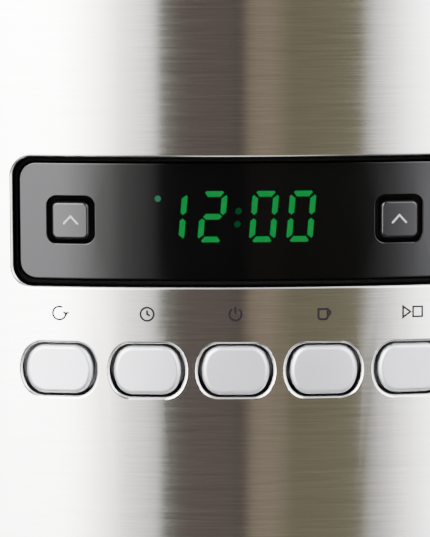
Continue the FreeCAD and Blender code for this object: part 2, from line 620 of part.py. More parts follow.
def make_boiler_bracket():
    bar = block_at("bracket_bar", "0", CARAFE_Y, f"2 * {BRACKET_HALF}", "bracket_width",
                   "boiler_low - bracket_sheet", "boiler_low")
    legs = [block_at(f"bracket_leg_{side}", f"{sign}({BRACKET_HALF} - bracket_sheet / 2)", CARAFE_Y,
                     "bracket_sheet", "bracket_width", PLATE_TOP, "boiler_low")
            for side, sign in (("left", "-"), ("right", ""))]
    return node(fuse("boiler_bracket", [bar] + legs), "boiler_bracket")


def make_heat_guards():
    top = "(boiler_low + boiler_height)"
    puck = rod("thermostat_puck", "z", "boiler_radius", f"{CARAFE_Y} + thermostat_shift", top,
               "thermostat_radius", "thermostat_height")
    fuses = [rod(f"fuse_{number}", "y", f"{sign} fuse_shift - boiler_radius", f"{CARAFE_Y} + fuse_start",
                 f"{top} + fuse_radius", "fuse_radius", "fuse_length") for number, sign in enumerate("-+")]
    return node(group("thermostat_and_fuses", [puck] + fuses), "thermostat_and_fuses")


def make_check_valve():
    body = new_body("check_valve")
    end = f"{BOILER_END} + valve_length"
    pad(body, "XZ", BOILER_END, end, [], [("boiler_radius", BORE_Z, "valve_radius")])
    pocket(body, "XZ", BOILER_END, end, [], [("boiler_radius", BORE_Z, "hose_bore")])
    return node(body, "check_valve")


def make_hoses():
    tube("cold_hose", [("boiler_radius", TANK_Y, "tank_low - outlet_length"),
                       ("boiler_radius", TANK_Y, BORE_Z),
                       ("boiler_radius", f"{BOILER_END} + valve_length", BORE_Z)],
         "cold_bend", "hose_radius", "hose_bore")
    tube("hot_hose", [("-boiler_radius", BOILER_END, BORE_Z), ("-boiler_radius", RISER_Y, BORE_Z),
                      ("0", RISER_Y, BORE_Z), ("0", RISER_Y, f"{BASE_TOP} + riser_start")],
         "hot_bend", "hose_radius", "hose_bore")


def make_power_parts():
    """The supply board, with its transformer and relay."""
    board = block_at("power_board", SUPPLY_X, SUPPLY_Y, "supply_width", "supply_width", SUPPLY_LOW,
                     SUPPLY_TOP)
    place = (f"({SUPPLY_X} - transformer_side)", f"({SUPPLY_Y} + transformer_back)")
    core_top = f"{SUPPLY_TOP} + core_height"
    core = block_at("transformer_core", *place, "core_width", "core_depth", SUPPLY_TOP, core_top)
    coil = block_at("transformer_coil", *place, "coil_width", "coil_depth", f"{SUPPLY_TOP} + coil_margin",
                    f"{core_top} - coil_margin")
    relay = block_at("relay_case", f"({SUPPLY_X} + relay_side)", f"({SUPPLY_Y} + relay_back)",
                     "relay_width", "relay_depth", SUPPLY_TOP, f"{SUPPLY_TOP} + relay_height")
    parts = group("power_components", [fuse("transformer", [core, coil]), relay])
    return node(board, "power_board"), node(parts, "power_components")


def make_cord_gland():
    body = new_body("cord_gland")
    inside = f"{BACK} - wall"
    flange = f"{inside} - gland_lip"
    end = f"{inside} - gland_length"
    pad(body, "XZ", inside, BACK, [], [(*GLAND, "gland_radius")])
    pad(body, "XZ", flange, inside, [], [(*GLAND, "gland_flange")])
    pad(body, "XZ", end, flange, [], [(*GLAND, "gland_sleeve")])
    pocket(body, "XZ", f"{end} - past", f"{BACK} + past", [], [(*GLAND, "gland_bore")])
    return node(body, "cord_gland")


# ---------------------------------------------------------------- column
def make_tower_shell():
    """The rear column, from the base to the lid, with the hinge cheeks and the fixed rear cap."""
    body = new_body("tower_shell")
    back_half = [(f"-{HALF}", COLUMN), (HALF, COLUMN), (HALF, f"{BACK} - rear_corner"),
                 (f"{HALF} - rear_corner", BACK), (f"rear_corner - {HALF}", BACK),
                 (f"-{HALF}", f"{BACK} - rear_corner")]
    pad(body, "XY", BASE_TOP, LID_TOP, [(back_half, {2: "rear_corner", 4: "rear_corner"})])
    inner_half = f"({HALF} - wall)"
    inner_back = f"({BACK} - wall)"
    inner_corner = "(rear_corner - wall)"
    hollow = [(f"-{inner_half}", f"{COLUMN} + wall"), (inner_half, f"{COLUMN} + wall"),
              (inner_half, f"{inner_back} - {inner_corner}"), (f"{inner_half} - {inner_corner}", inner_back),
              (f"{inner_corner} - {inner_half}", inner_back),
              (f"-{inner_half}", f"{inner_back} - {inner_corner}")]
    pocket(body, "XY", f"{BASE_TOP} - past", f"{HEAD_TOP} - past",
           [(hollow, {2: inner_corner, 4: inner_corner})])
    # the front wall stops under the deck, and the lid's place is cut out of the top
    pocket(body, "XY", DECK_LOW, f"{LID_TOP} + past",
           [rectangle(f"-{inner_half}", inner_half, f"({COLUMN} - past)", f"({HINGE_BACK} + hinge_room)")])
    pocket(body, "XY", HEAD_TOP, f"{LID_TOP} + past",
           [rectangle(f"-({HALF} + past)", f"({HALF} + past)", f"({COLUMN} - past)", HINGE_FRONT)])
    cheek_inner = f"({HALF} - cheek)"
    pocket(body, "XY", HEAD_TOP, f"{LID_TOP} + past",
           [rectangle(f"-{cheek_inner}", cheek_inner, f"({HINGE_FRONT} - past)",
                      f"({HINGE_BACK} + hinge_room)")])
    # cheeks follow the round end of the lid
    pocket(body, "YZ", f"-({HALF} + past)", f"({HALF} + past)",
           [([(f"{HINGE_FRONT} - past", HINGE_Z), (HINGE_FRONT, HINGE_Z), (HINGE_Y, LID_TOP),
              (HINGE_Y, f"{LID_TOP} + past"), (f"{HINGE_FRONT} - past", f"{LID_TOP} + past")],
             {1: f"-{HINGE_RADIUS}"})])
    pocket(body, "YZ", f"-({HALF} - hinge_room)", f"({HALF} - hinge_room)", [],
           [(HINGE_Y, HINGE_Z, "pin_radius")])
    # seat of the sight glass
    pocket(body, "YZ", f"({HALF} - wall - past)", f"({HALF} + past)",
           [sight_loop()])
    return node(body, "tower_shell")


def sight_loop(margin="0"):
    """The upright slot of the sight glass, or one wider by a margin."""
    return rectangle(f"({TANK_Y} - sight_half - {margin})", f"({TANK_Y} + sight_half + {margin})",
                     f"(tank_low + sight_low - {margin})", f"({TANK_TOP} - sight_high + {margin})",
                     f"(sight_corner + {margin})")


def make_level_window():
    body = new_body("level_window")
    pad(body, "YZ", f"({HALF} - wall)", HALF,
        [sight_loop()])
    pad(body, "YZ", f"({HALF} - wall - sight_flange_depth)", f"({HALF} - wall)",
        [sight_loop("sight_flange")])
    return node(body, "level_window")


def make_tank():
    body = new_body("water_tank")
    pad(body, "XY", "tank_low", TANK_TOP,
        [centred("0", TANK_Y, TANK_WIDTH, TANK_DEPTH, "tank_corner")])
    pocket(body, "XY", "tank_low + tank_wall", f"{TANK_TOP} + past",
           [centred("0", TANK_Y, f"({TANK_WIDTH} - 2 * tank_wall)", f"({TANK_DEPTH} - 2 * tank_wall)",
                    "(tank_corner - tank_wall)")])
    pad(body, "XY", "tank_low - outlet_length", "tank_low + past", [],
        [("boiler_radius", TANK_Y, "hose_radius")])
    pocket(body, "XY", "tank_low - outlet_length - past", "tank_low + tank_wall + past", [],
           [("boiler_radius", TANK_Y, "hose_bore")])
    return node(body, "water_tank")


def make_filter():
    """The charcoal filter's cup on its tall stem, and the capsule in it."""
    low = "(tank_low + tank_wall + screw_room)"
    knob = f"({TANK_TOP} - filter_knob_drop)"
    cup = new_body("filter_holder")
    turned(cup, [("0", low), ("filter_radius", low), ("filter_radius", f"{low} + filter_height"),
                 ("filter_stem", f"{low} + filter_height + filter_shoulder"),
                 ("filter_stem", f"{knob} - filter_knob_height - past"),
                 ("filter_knob", f"{knob} - filter_knob_height"), ("filter_knob", knob), ("0", knob)],
           TANK_Y, centre_x=FILTER_X)
    turned(cup, [("0", f"{low} + filter_floor"), ("filter_bore", f"{low} + filter_floor"),
                 ("filter_bore", f"{low} + filter_floor + filter_bore_height"),
                 ("0", f"{low} + filter_floor + filter_bore_height")],
           TANK_Y, kind="Groove", centre_x=FILTER_X)
    slots = [centred(f"({FILTER_X} + {step} * filter_slot_pitch)",
                     f"({low} + (filter_slot_low + filter_slot_high) / 2)", "(2 * past)",
                     "(filter_slot_high - filter_slot_low)") for step in range(-2, 3)]
    pocket(cup, "XZ", f"{TANK_Y} - filter_radius - past", f"{TANK_Y} + filter_radius + past", slots)
    capsule = new_body("charcoal_cartridge")
    turned(capsule, [("0", f"{low} + cartridge_low"), ("cartridge_radius", f"{low} + cartridge_low"),
                     ("cartridge_radius", f"{low} + cartridge_high"), ("0", f"{low} + cartridge_high")],
           TANK_Y, centre_x=FILTER_X)
    return node(cup, "filter_holder"), node(capsule, "charcoal_cartridge")


def make_riser():
    riser = new_body("riser_tube")
    pad(riser, "XY", f"{BASE_TOP} + riser_start", f"{DECK_LOW} - nozzle_grip", [],
        [("0", RISER_Y, "hose_radius"), ("0", RISER_Y, "hose_bore")])
    nozzle = new_body("outlet_nozzle")
    top = f"{HEAD_TOP} - nozzle_gap"
    low = f"{DECK_LOW} - nozzle_grip"
    turned(nozzle, [("hose_bore", low), ("nozzle_flange", low), ("nozzle_flange", DECK_LOW),
                    ("nozzle_radius", DECK_LOW), ("nozzle_radius", top), ("hose_bore", top)], RISER_Y)
    return node(riser, "riser_tube"), node(nozzle, "outlet_nozzle")


# ---------------------------------------------------------------- head
POST_SPOTS = [(f"{sx}post_offset", f"({BOARD_Z} {sz} post_rise)") for sx in ("-", "") for sz in ("-", "+")]


def make_head_shell():
    body = new_body("head_shell")
    pad(body, "XY", HEAD_LOW, HEAD_TOP, [plan("steel_thickness")])
    pocket(body, "XY", f"{HEAD_LOW} + wall", f"{HEAD_TOP} + past", [plan("steel_thickness + wall")])
    pocket(body, "XY", f"{HEAD_LOW} - past", f"{HEAD_TOP} + past",
           [rectangle(f"-({HALF} + past)", f"({HALF} + past)", COLUMN, f"({BACK} + past)")])
    pocket(body, "XY", f"{HEAD_LOW} - past", f"{HEAD_LOW} + wall + past", [], [("0", CARAFE_Y, "drip_hole")])
    margin = "2 * (window_flange + opening_room)"
    pocket(body, "XZ", AHEAD, INSIDE, [centred("0", WINDOW_Z, f"(window_width + {margin})",
                                              f"(window_height + {margin})", "opening_corner")])
    pocket(body, "XZ", AHEAD, INSIDE, [centred("0", BUTTON_Z, f"({GUIDE_WIDTH} + 2 * opening_room)",
                                              f"({GUIDE_HEIGHT} + 2 * opening_room)", "opening_corner")])
    pad(body, "XZ", f"{BOARD_Y} - post_length", BOARD_Y, [], [(x, z, "post_radius") for x, z in POST_SPOTS])
    pocket(body, "XZ", f"{BOARD_Y} - post_bore", f"{BOARD_Y} + past", [],
           [(x, z, "screw_radius + screw_fit") for x, z in POST_SPOTS])
    return node(body, "head_shell")


def make_head_deck():
    body = new_body("head_deck")
    inset = "(steel_thickness + wall + clearance)"
    pad(body, "XY", DECK_LOW, DECK_TOP,
        [plan(inset, f"({HINGE_BACK} + hinge_room + {inset})", f"({inset} + chamber_wall)")])
    pocket(body, "XY", f"{DECK_LOW} - past", f"{DECK_TOP} + past",
           [rectangle(f"-({HALF} - fill_side)", f"({HALF} - fill_side)", f"({TANK_FRONT} + fill_front)",
                      f"({HINGE_Y} - fill_rear)", "opening_corner")],
           [("0", CARAFE_Y, "chamber_radius + chamber_wall + clearance"),
            ("0", RISER_Y, "nozzle_radius + clearance")])
    return node(body, "head_deck")


def make_chamber():
    body = new_body("brew_chamber")
    outer = "(chamber_radius + chamber_wall)"
    turned(body, [("drip_hole", CHAMBER_LOW), (outer, CHAMBER_LOW), (outer, DECK_TOP),
                  (f"{outer} + chamber_rim", DECK_TOP),
                  (f"{outer} + chamber_rim", f"{DECK_TOP} + chamber_lip"),
                  ("chamber_radius", f"{DECK_TOP} + chamber_lip"),
                  ("chamber_radius", f"{CHAMBER_LOW} + chamber_wall"),
                  ("drip_hole", f"{CHAMBER_LOW} + chamber_wall")])
    seat = f"({RIM_Z} - basket_seat)"
    turned(body, [("chamber_radius - ledge_reach", f"{seat} - ledge_height / 2"),
                  ("chamber_radius + ledge_root", f"{seat} - ledge_height"),
                  ("chamber_radius + ledge_root", seat), ("chamber_radius - ledge_reach", seat)])
    return node(body, "brew_chamber")


def make_basket():
    """The lift-out basket: a rim, a tapered wall, a cone and the drip boss."""
    body = new_body("brew_basket")
    top_radius = "(chamber_radius - basket_gap)"
    low_radius = f"({top_radius} - basket_taper)"
    rim_radius = "chamber_radius - basket_play"
    turned(body, [
        ("boss_bore", BOSS_LOW), ("boss_radius", BOSS_LOW), ("boss_radius", f"{SEAT_Z} - basket_wall"),
        (low_radius, f"{CONE_TOP} - basket_wall"), (top_radius, f"{RIM_Z} - basket_seat"),
        (rim_radius, f"{RIM_Z} - basket_seat"), (rim_radius, RIM_Z), (f"{top_radius} - basket_wall", RIM_Z),
        (f"{low_radius} - basket_wall", CONE_TOP), ("boss_radius", SEAT_Z), ("boss_bore", SEAT_Z)])
    handle = new_body("basket_handle")
    outer = "(chamber_radius - 2 * basket_play)"
    inner = f"({outer} - bail_width)"
    low = f"({RIM_Z} + clearance)"
    pad(handle, "XY", low, f"{low} + bail_height",
        [([(f"-{outer}", CARAFE_Y), ("0", f"({CARAFE_Y} - {outer})"), (outer, CARAFE_Y), (inner, CARAFE_Y),
           ("0", f"({CARAFE_Y} - {inner})"), (f"-{inner}", CARAFE_Y)],
          {0: outer, 1: outer, 3: f"-{inner}", 4: f"-{inner}"})])
    return node(body, "brew_basket"), node(handle, "basket_handle")


def make_mesh_filter():
    body = new_body("mesh_filter")
    top_radius = "(chamber_radius - basket_gap - basket_wall - mesh_gap)"
    low_radius = f"({top_radius} - mesh_taper)"
    low = f"({CONE_TOP} + mesh_lift)"
    high = f"({RIM_Z} - mesh_drop)"
    rim = f"{top_radius} + mesh_rim"
    turned(body, [("0", low), (low_radius, low), (top_radius, high), (rim, high), (rim, f"{high} + mesh_rim"),
                  (f"{top_radius} - mesh_wall", f"{high} + mesh_rim"),
                  (f"{low_radius} - mesh_wall", f"{low} + mesh_wall"), ("0", f"{low} + mesh_wall")])
    return node(body, "mesh_filter")


def make_drip_valve():
    body = new_body("drip_valve")
    foot = f"({VALVE_TIP} + 2 * foot_bevel)"
    cap = "boss_bore + valve_cap"
    seat = f"({SEAT_Z} + valve_seat_gap)"
    turned(body, [("0", VALVE_TIP), ("foot_disc - foot_bevel", VALVE_TIP),
                  ("foot_disc", f"{VALVE_TIP} + foot_bevel"), ("foot_disc", foot), ("drip_stem", foot),
                  ("drip_stem", seat), (cap, seat), (cap, f"{SEAT_Z} + valve_cap"),
                  ("0", f"{SEAT_Z} + 1.5 * valve_cap")])
    spring = new_body("drip_spring")
    inner = "drip_stem + spring_play"
    low = f"{BOSS_LOW} + spring_low"
    high = f"{BOSS_LOW} + spring_high"
    turned(spring, [(inner, low), ("boss_bore", low), ("boss_bore", high), (inner, high)])
    return node(body, "drip_valve"), node(spring, "drip_spring")


# ---------------------------------------------------------------- control panel
BUTTON_NAMES = ["filter_reset_button", "program_button", "auto_on_button", "small_batch_button",
                "start_stop_button"]
BUTTON_X = [f"({BUTTON_PITCH} * {step})" for step in (-2, -1, 0, 1, 2)]
KEYS = [("hr_key", "(-key_offset)"), ("min_key", "(key_offset)")]


def window_loop(inset):
    return centred("0", WINDOW_Z, f"(window_width - 2 * ({inset}))", f"(window_height - 2 * ({inset}))",
                   f"(window_corner - 0.5 * ({inset}))")


def key_loop(x, size, corner):
    return centred(x, KEY_Z, size, size, corner)


def make_steel_panel():
    """The bowed steel wrap, with a window, five oval holes and a rolled lip round each."""
    body = new_body("front_steel_panel")
    pad(body, "XY", PANEL_LOW, PANEL_TOP, [plan()])
    pocket(body, "XY", f"{PANEL_LOW} - past", f"{PANEL_TOP} + past", [plan("steel_thickness")])
    pocket(body, "XY", f"{PANEL_LOW} - past", f"{PANEL_TOP} + past",
           [rectangle(f"-({HALF} + past)", f"({HALF} + past)", COLUMN, f"({BACK} + past)")])
    holes = [window_loop("0")] + [oval(x, BUTTON_Z, "0") for x in BUTTON_X]
    pocket(body, "XZ", AHEAD, INSIDE, holes)
    low = value(PANEL_LOW)
    high = value(PANEL_TOP)
    face = on_front("0")

    def lip(edge):
        bounds = edge.BoundBox
        return face(edge) and bounds.ZMin > low + 1 and bounds.ZMax < high - 1
    round_edges(body, "lip_radius", lip)
    return node(body, "front_steel_panel")


def make_display_window():
    block = prism("window_block", "XZ", AHEAD, INSIDE, [window_loop("(-window_flange)")])
    block = behind_front("window_front", block, "steel_thickness")
    block = before_front("window_slab", block, "window_back")
    opening = before_front("window_opening", prism("opening_block", "XZ", AHEAD, INSIDE, [window_loop("0")]),
                           "plateau_recess")
    recessed = cut("window_recessed", block, opening)
    ring = prism("groove_block", "XZ", AHEAD, INSIDE, [window_loop("0"), window_loop("groove_width")])
    grooved = cut("window_grooved", recessed, before_front("groove", ring, "groove_recess"))
    face = on_front("plateau_recess")
    soft = rounded("window_soft", grooved, "plateau_edge", face)
    holes = prism("key_holes", "XZ", AHEAD, INSIDE,
                  [key_loop(x, "key_hole", "key_hole_corner") for _, x in KEYS])
    keyed = cut("window_keyed", soft, holes)
    reach = value("key_hole") / 2 + TOUCH

    def key_edge(edge):
        middle = edge.BoundBox.Center
        return face(edge) and any(math.dist((middle.x, middle.z), (value(x), value(KEY_Z))) < reach * 1.5
                                  for _, x in KEYS)
    return node(rounded("display_window", keyed, "key_hole_edge", key_edge), "display_window")


def make_button_guide():
    plate = prism("guide_block", "XZ", AHEAD, INSIDE,
                  [centred("0", BUTTON_Z, GUIDE_WIDTH, GUIDE_HEIGHT, "opening_corner")])
    plate = before_front("guide_slab", behind_front("guide_front", plate, "steel_thickness"),
                         "steel_thickness + guide_plate")
    sleeves = prism("sleeve_block", "XZ", AHEAD, GUIDE_BACK,
                    [oval(x, BUTTON_Z, "(-sleeve_wall)") for x in BUTTON_X])
    sleeves = behind_front("sleeves", sleeves, "steel_thickness")
    holes = prism("sleeve_holes", "XZ", AHEAD, INSIDE, [oval(x, BUTTON_Z, "0") for x in BUTTON_X])
    return node(cut("button_guide", fuse("guide_solid", [plate, sleeves]), holes), "button_guide")


def make_cap(name, x, z, face_loop, catch_loop, recess, bevel):
    """A push key: a bowed, bevelled face, a catch behind the panel and a stem."""
    block = prism(name + "_block", "XZ", f"({FRONT} - cap_reach)", CATCH_FRONT, [face_loop])
    block = behind_front(name + "_bowed", block, recess)
    soft = rounded(name + "_soft", block, bevel, on_front(recess))
    catch = prism(name + "_catch", "XZ", CATCH_FRONT, CATCH_BACK, [catch_loop])
    stem = rod(name + "_stem", "y", x, CATCH_BACK, z, "stem_radius",
               f"{PLUNGER_Y} - switch_gap - {CATCH_BACK}")
    return node(fuse(name, [soft, catch, stem]), name)


def make_buttons():
    for name, x in zip(BUTTON_NAMES, BUTTON_X):
        make_cap(name, x, BUTTON_Z, oval(x, BUTTON_Z, "cap_gap", "cap_side_gap"),
                 oval(x, BUTTON_Z, "(-cap_catch)"), "clearance", "cap_bevel")
    for name, x in KEYS:
        make_cap(name, x, KEY_Z, key_loop(x, "(key_hole - 2 * key_gap)", "key_corner"),
                 key_loop(x, "(key_hole + 2 * key_catch)", "key_hole_corner"),
                 "plateau_recess - key_proud", "key_bevel")


def make_electronics():
    board = new_body("control_board")
    pad(board, "XZ", BOARD_Y, f"{BOARD_Y} + board_thickness",
        [centred("0", BOARD_Z, "board_width", "board_height")],
        [(x, z, "screw_radius + screw_room") for x, z in POST_SPOTS])
    spots = [(x, BUTTON_Z) for x in BUTTON_X] + [(x, KEY_Z) for _, x in KEYS]
    switches = []
    for number, (x, z) in enumerate(spots):
        can = box(f"switch_can_{number}", f"{x} - switch_half", f"{x} + switch_half",
                  f"{BOARD_Y} - switch_height", BOARD_Y, f"{z} - switch_half", f"{z} + switch_half")
        plunger = rod(f"switch_plunger_{number}", "y", x, PLUNGER_Y, z, "plunger_radius",
                      "plunger_height + past")
        switches.append(fuse(f"switch_{number}", [can, plunger]))
    module = box("display_module", "-(module_width / 2 + module_shift)", "(module_width / 2 - module_shift)",
                 f"{FRONT} + window_back + module_gap", BOARD_Y, f"{WINDOW_Z} - module_height / 2",
                 f"{WINDOW_Z} + module_height / 2")
    screws = []
    for number, (x, z) in enumerate(POST_SPOTS):
        shank = rod(f"board_shank_{number}", "y", x, f"{BOARD_Y} - board_screw_bite", z, "screw_radius",
                    "board_screw_bite + board_thickness")
        head = rod(f"board_head_{number}", "y", x, f"{BOARD_Y} + board_thickness", z, "board_screw_head",
                   "board_screw_rise")
        screws.append(fuse(f"board_screw_{number}", [shank, head]))
    return (node(board, "control_board"), node(group("tactile_switches", switches), "tactile_switches"),
            node(module, "display_module"), node(group("board_screws", screws), "board_screws"))


# ---------------------------------------------------------------- lid
def make_lid():
    body = new_body("lid_cover")
    tongue = f"({HALF} - cheek - lid_gap)"
    pad(body, "XY", LID_LOW, LID_TOP, [plan("0", HINGE_FRONT, "lid_corner")])
    pad(body, "XY", LID_LOW, LID_TOP,
        [rectangle(f"-{tongue}", tongue, f"({HINGE_FRONT} - past)", HINGE_BACK)])
    pocket(body, "YZ", f"-({HALF} + past)", f"({HALF} + past)",
           [([(HINGE_Y, LID_TOP), (HINGE_Y, f"{LID_TOP} + past"), (f"{BACK} + past", f"{LID_TOP} + past"),
              (f"{BACK} + past", f"{LID_LOW} - past"), (HINGE_Y, f"{LID_LOW} - past"), (HINGE_Y, LID_LOW),
              (HINGE_BACK, HINGE_Z)],
             {5: HINGE_RADIUS, 6: HINGE_RADIUS})])
    top = value(LID_TOP)
    rear = value(HINGE_FRONT)
    round_edges(body, "lid_edge", lambda edge: abs(edge.BoundBox.ZMin - top) < TOUCH
                and edge.BoundBox.YMax < rear + TOUCH and edge.BoundBox.YMin < rear - 1)
    pocket(body, "XY", f"{LID_LOW} - past", f"{LID_TOP} - lid_wall",
           [plan("lid_wall", f"({HINGE_FRONT} - hinge_relief + lid_wall)", "(lid_wall + channel_wall)")])
    pocket(body, "YZ", f"-({HALF} + past)", f"({HALF} + past)", [],
           [(HINGE_Y, HINGE_Z, "pin_radius + pin_play")])
    return node(body, "lid_cover")


def make_lid_parts():
    channel = new_body("lid_channel")
    floor = f"{LID_LOW} + channel_wall"
    inner = "(channel_half - channel_wall)"
    pad(channel, "XY", LID_LOW, f"{LID_TOP} - lid_wall",
        [rectangle("-channel_half", "channel_half", f"({CARAFE_Y} - channel_half)",
                   f"({RISER_Y} + channel_half)", "channel_corner")])
    pocket(channel, "XY", floor, f"{LID_TOP} - lid_wall",
           [rectangle(f"-{inner}", inner, f"({CARAFE_Y} - {inner})", f"({RISER_Y} + {inner})",
                      "(channel_corner - past)")])
    pocket(channel, "XY", f"{LID_LOW} - past", floor, [], [("0", CARAFE_Y, "channel_drop"),
                                                          ("0", RISER_Y, "channel_inlet")])
    seal = new_body("channel_seal")
    seal_top = f"{floor} + channel_seal_height"
    turned(seal, [("hose_bore", floor), ("channel_seal_radius", floor), ("channel_seal_radius", seal_top),
                  ("hose_bore", seal_top)], RISER_Y)
    head = new_body("shower_head")
    low = f"({LID_LOW} - shower_height)"
    inner = f"{SHOWER_RADIUS} - shower_wall"
    turned(head, [("0", low), (SHOWER_RADIUS, low), (SHOWER_RADIUS, LID_LOW), ("channel_drop", LID_LOW),
                  ("channel_drop", f"{LID_LOW} - shower_wall"), (inner, f"{LID_LOW} - shower_wall"),
                  (inner, f"{low} + shower_wall"), ("0", f"{low} + shower_wall")])
    holes = []
    rings = 3
    for ring in range(1, rings + 1):
        count = 6 * ring
        for step in range(count):
            angle = 360 * step / count
            reach = f"{SHOWER_RADIUS} * {ring} / ({rings} + 0.5)"
            holes.append((f"({reach} * cos({angle}))", f"({CARAFE_Y} + {reach} * sin({angle}))",
                          "shower_hole"))
    pocket(head, "XY", f"{low} - past", f"{low} + shower_wall", [], holes)
    pins = [rod(f"hinge_pin_{side}", "x", x, HINGE_Y, HINGE_Z, "pin_radius", "pin_length")
            for side, x in (("left", f"hinge_room - {HALF}"), ("right", f"{HALF} - hinge_room - pin_length"))]
    return (node(channel, "lid_channel"), node(seal, "channel_seal"), node(head, "shower_head"),
            node(group("lid_hinge_pins", pins), "lid_hinge_pins"))


# ---------------------------------------------------------------- carafe
def bulge(run, rise):
    """The radius of an arc that leaves a vertical side and moves in by run over rise."""
    return f"((({run}) ^ 2 + ({rise}) ^ 2) / (2 * ({run})))"


def carafe_outline(inset, low, neck_inset):
    """The side of a carafe shell: its (radius, height) points and the radii of its two curves."""
    belly = f"(belly_radius - ({inset}))"
    neck = f"(neck_radius - ({neck_inset}))"
    points = [(f"{belly} - foot_taper", low), (belly, f"({low} + foot_curve)"),
              (belly, f"({COLLAR_LOW} - shoulder_height)"), (neck, COLLAR_LOW)]
    return points, bulge("foot_taper", "foot_curve"), bulge(f"{belly} - {neck}", "shoulder_height")


def shell_profile(inset, low, neck_inset, top):
    """A closed profile of a thin carafe shell, up to a neck that ends at top."""
    outside, foot, shoulder = carafe_outline(inset, low, neck_inset)
    inside, inner_foot, inner_shoulder = carafe_outline(f"{inset} + shell_wall", f"({low} + shell_wall)",
                                                        f"{neck_inset} + shell_wall")
    points = [("0", low)] + outside + top + inside[::-1] + [("0", f"{low} + shell_wall")]
    inner_start = 1 + len(outside) + len(top)
    arcs = {1: foot, 3: shoulder, inner_start: "-" + inner_shoulder, inner_start + 2: "-" + inner_foot}
    return points, arcs


def make_carafe_shells():
    outer = new_body("carafe_outer_shell")
    rim = [("neck_radius", "neck_top"), ("neck_radius - vacuum_gap", "neck_top"),
           ("neck_radius - vacuum_gap", "neck_top - shell_wall"),
           ("neck_radius - shell_wall", "neck_top - shell_wall")]
    points, arcs = shell_profile("0", SHELL_LOW, "0", rim)
    turned(outer, points, arcs=arcs)
    inner = new_body("carafe_inner_shell")
    rim = [("neck_radius - vacuum_gap", "neck_top - shell_wall"),
           ("neck_radius - vacuum_gap - shell_wall", "neck_top - shell_wall")]
    points, arcs = shell_profile("vacuum_gap", f"({SHELL_LOW} + vacuum_gap)", "vacuum_gap", rim)
    turned(inner, points, arcs=arcs)
    ring = new_body("carafe_base_ring")
    ring_outer = "belly_radius - ring_inset"
    ring_inner = f"{ring_outer} - ring_width"
    turned(ring, [(ring_inner, CARAFE_LOW), (f"{ring_outer} - ring_bevel", CARAFE_LOW),
                  (ring_outer, f"{CARAFE_LOW} + ring_bevel"), (ring_outer, SHELL_LOW),
                  (ring_inner, SHELL_LOW)])
    return (node(outer, "carafe_outer_shell"), node(inner, "carafe_inner_shell"),
            node(ring, "carafe_base_ring"))


def make_collar():
    body = new_body("carafe_collar")
    outer = "(neck_radius + collar_wall)"
    turned(body, [("neck_radius", COLLAR_LOW), (outer, COLLAR_LOW), (outer, COLLAR_TOP),
                  ("neck_radius", COLLAR_TOP)])
    lip_z = f"({COLLAR_TOP} - lip_height)"
    lip_end = f"{CARAFE_Y} + {outer} + lip_reach"
    pad(body, "XY", lip_z, COLLAR_TOP,
        [([("-lip_root", f"{CARAFE_Y} + neck_radius"), ("lip_root", f"{CARAFE_Y} + neck_radius"),
           ("lip_tip", lip_end), ("-lip_tip", lip_end)], {})])
    pocket(body, "XY", f"{lip_z} - past", f"{COLLAR_TOP} + past", [], [("0", CARAFE_Y, "neck_radius")])
    return node(body, "carafe_collar")


def make_handle():
    body = new_body("carafe_handle")
    front = f"({FRONT} - handle_overhang)"
    top = "handle_top"
    low = "handle_low"
    seat = f"({CARAFE_Y} - neck_radius - collar_wall + handle_bite)"
    belly = f"({CARAFE_Y} - belly_radius + handle_bite + past)"
    foot = f"{low} + handle_grip + handle_bite"
    outside = [(seat, top), (f"{front} + handle_bend", top), (front, f"{top} - handle_bend - handle_bite"),
               (f"{front} + handle_slope", f"{low} + handle_grip - past"), (f"{front} + handle_bend", low),
               (belly, low), (belly, foot), (f"{front} + handle_grip + handle_inner_bend", foot),
               (f"{front} + handle_grip + handle_slope", f"{foot} + handle_inner_bend"),
               (f"{front} + handle_grip", f"{top} - handle_grip - 2 * handle_inner_bend + past"),
               (f"{front} + handle_grip + handle_inner_bend + handle_bite", f"{top} - handle_grip"),
               (seat, f"{top} - handle_grip")]
    pad(body, "YZ", "-handle_width / 2", "handle_width / 2", [(outside, {})])
    width = value("handle_width")
    outer_corners = [outside[index] for index in (1, 2, 3, 4)]
    inner_corners = [outside[index] for index in (7, 8, 9, 10)]

    def at_corners(corners):
        places = [(value(y), value(z)) for y, z in corners]
        return lambda edge: edge.BoundBox.XLength > width - TOUCH and any(
            math.dist((edge.CenterOfMass.y, edge.CenterOfMass.z), place) < 10 * TOUCH for place in places)
    round_edges(body, "handle_bend", at_corners(outer_corners))
    round_edges(body, "handle_inner_bend", at_corners(inner_corners))
    ends = [value(seat), value(belly)]
    round_edges(body, "handle_round", lambda edge: edge.BoundBox.XLength < TOUCH
                and not any(edge.BoundBox.YLength < TOUCH and abs(edge.CenterOfMass.y - end) < TOUCH
                            for end in ends))
    side, foot, shoulder = carafe_outline("0", f"({SHELL_LOW})", "0")
    profile = [("0", SHELL_LOW)] + side + [
        ("neck_radius + collar_wall", COLLAR_LOW), ("neck_radius + collar_wall", f"{COLLAR_TOP} + past"),
        ("0", f"{COLLAR_TOP} + past")]
    turned(body, profile, arcs={1: foot, 3: shoulder}, kind="Groove")
    return node(body, "carafe_handle")


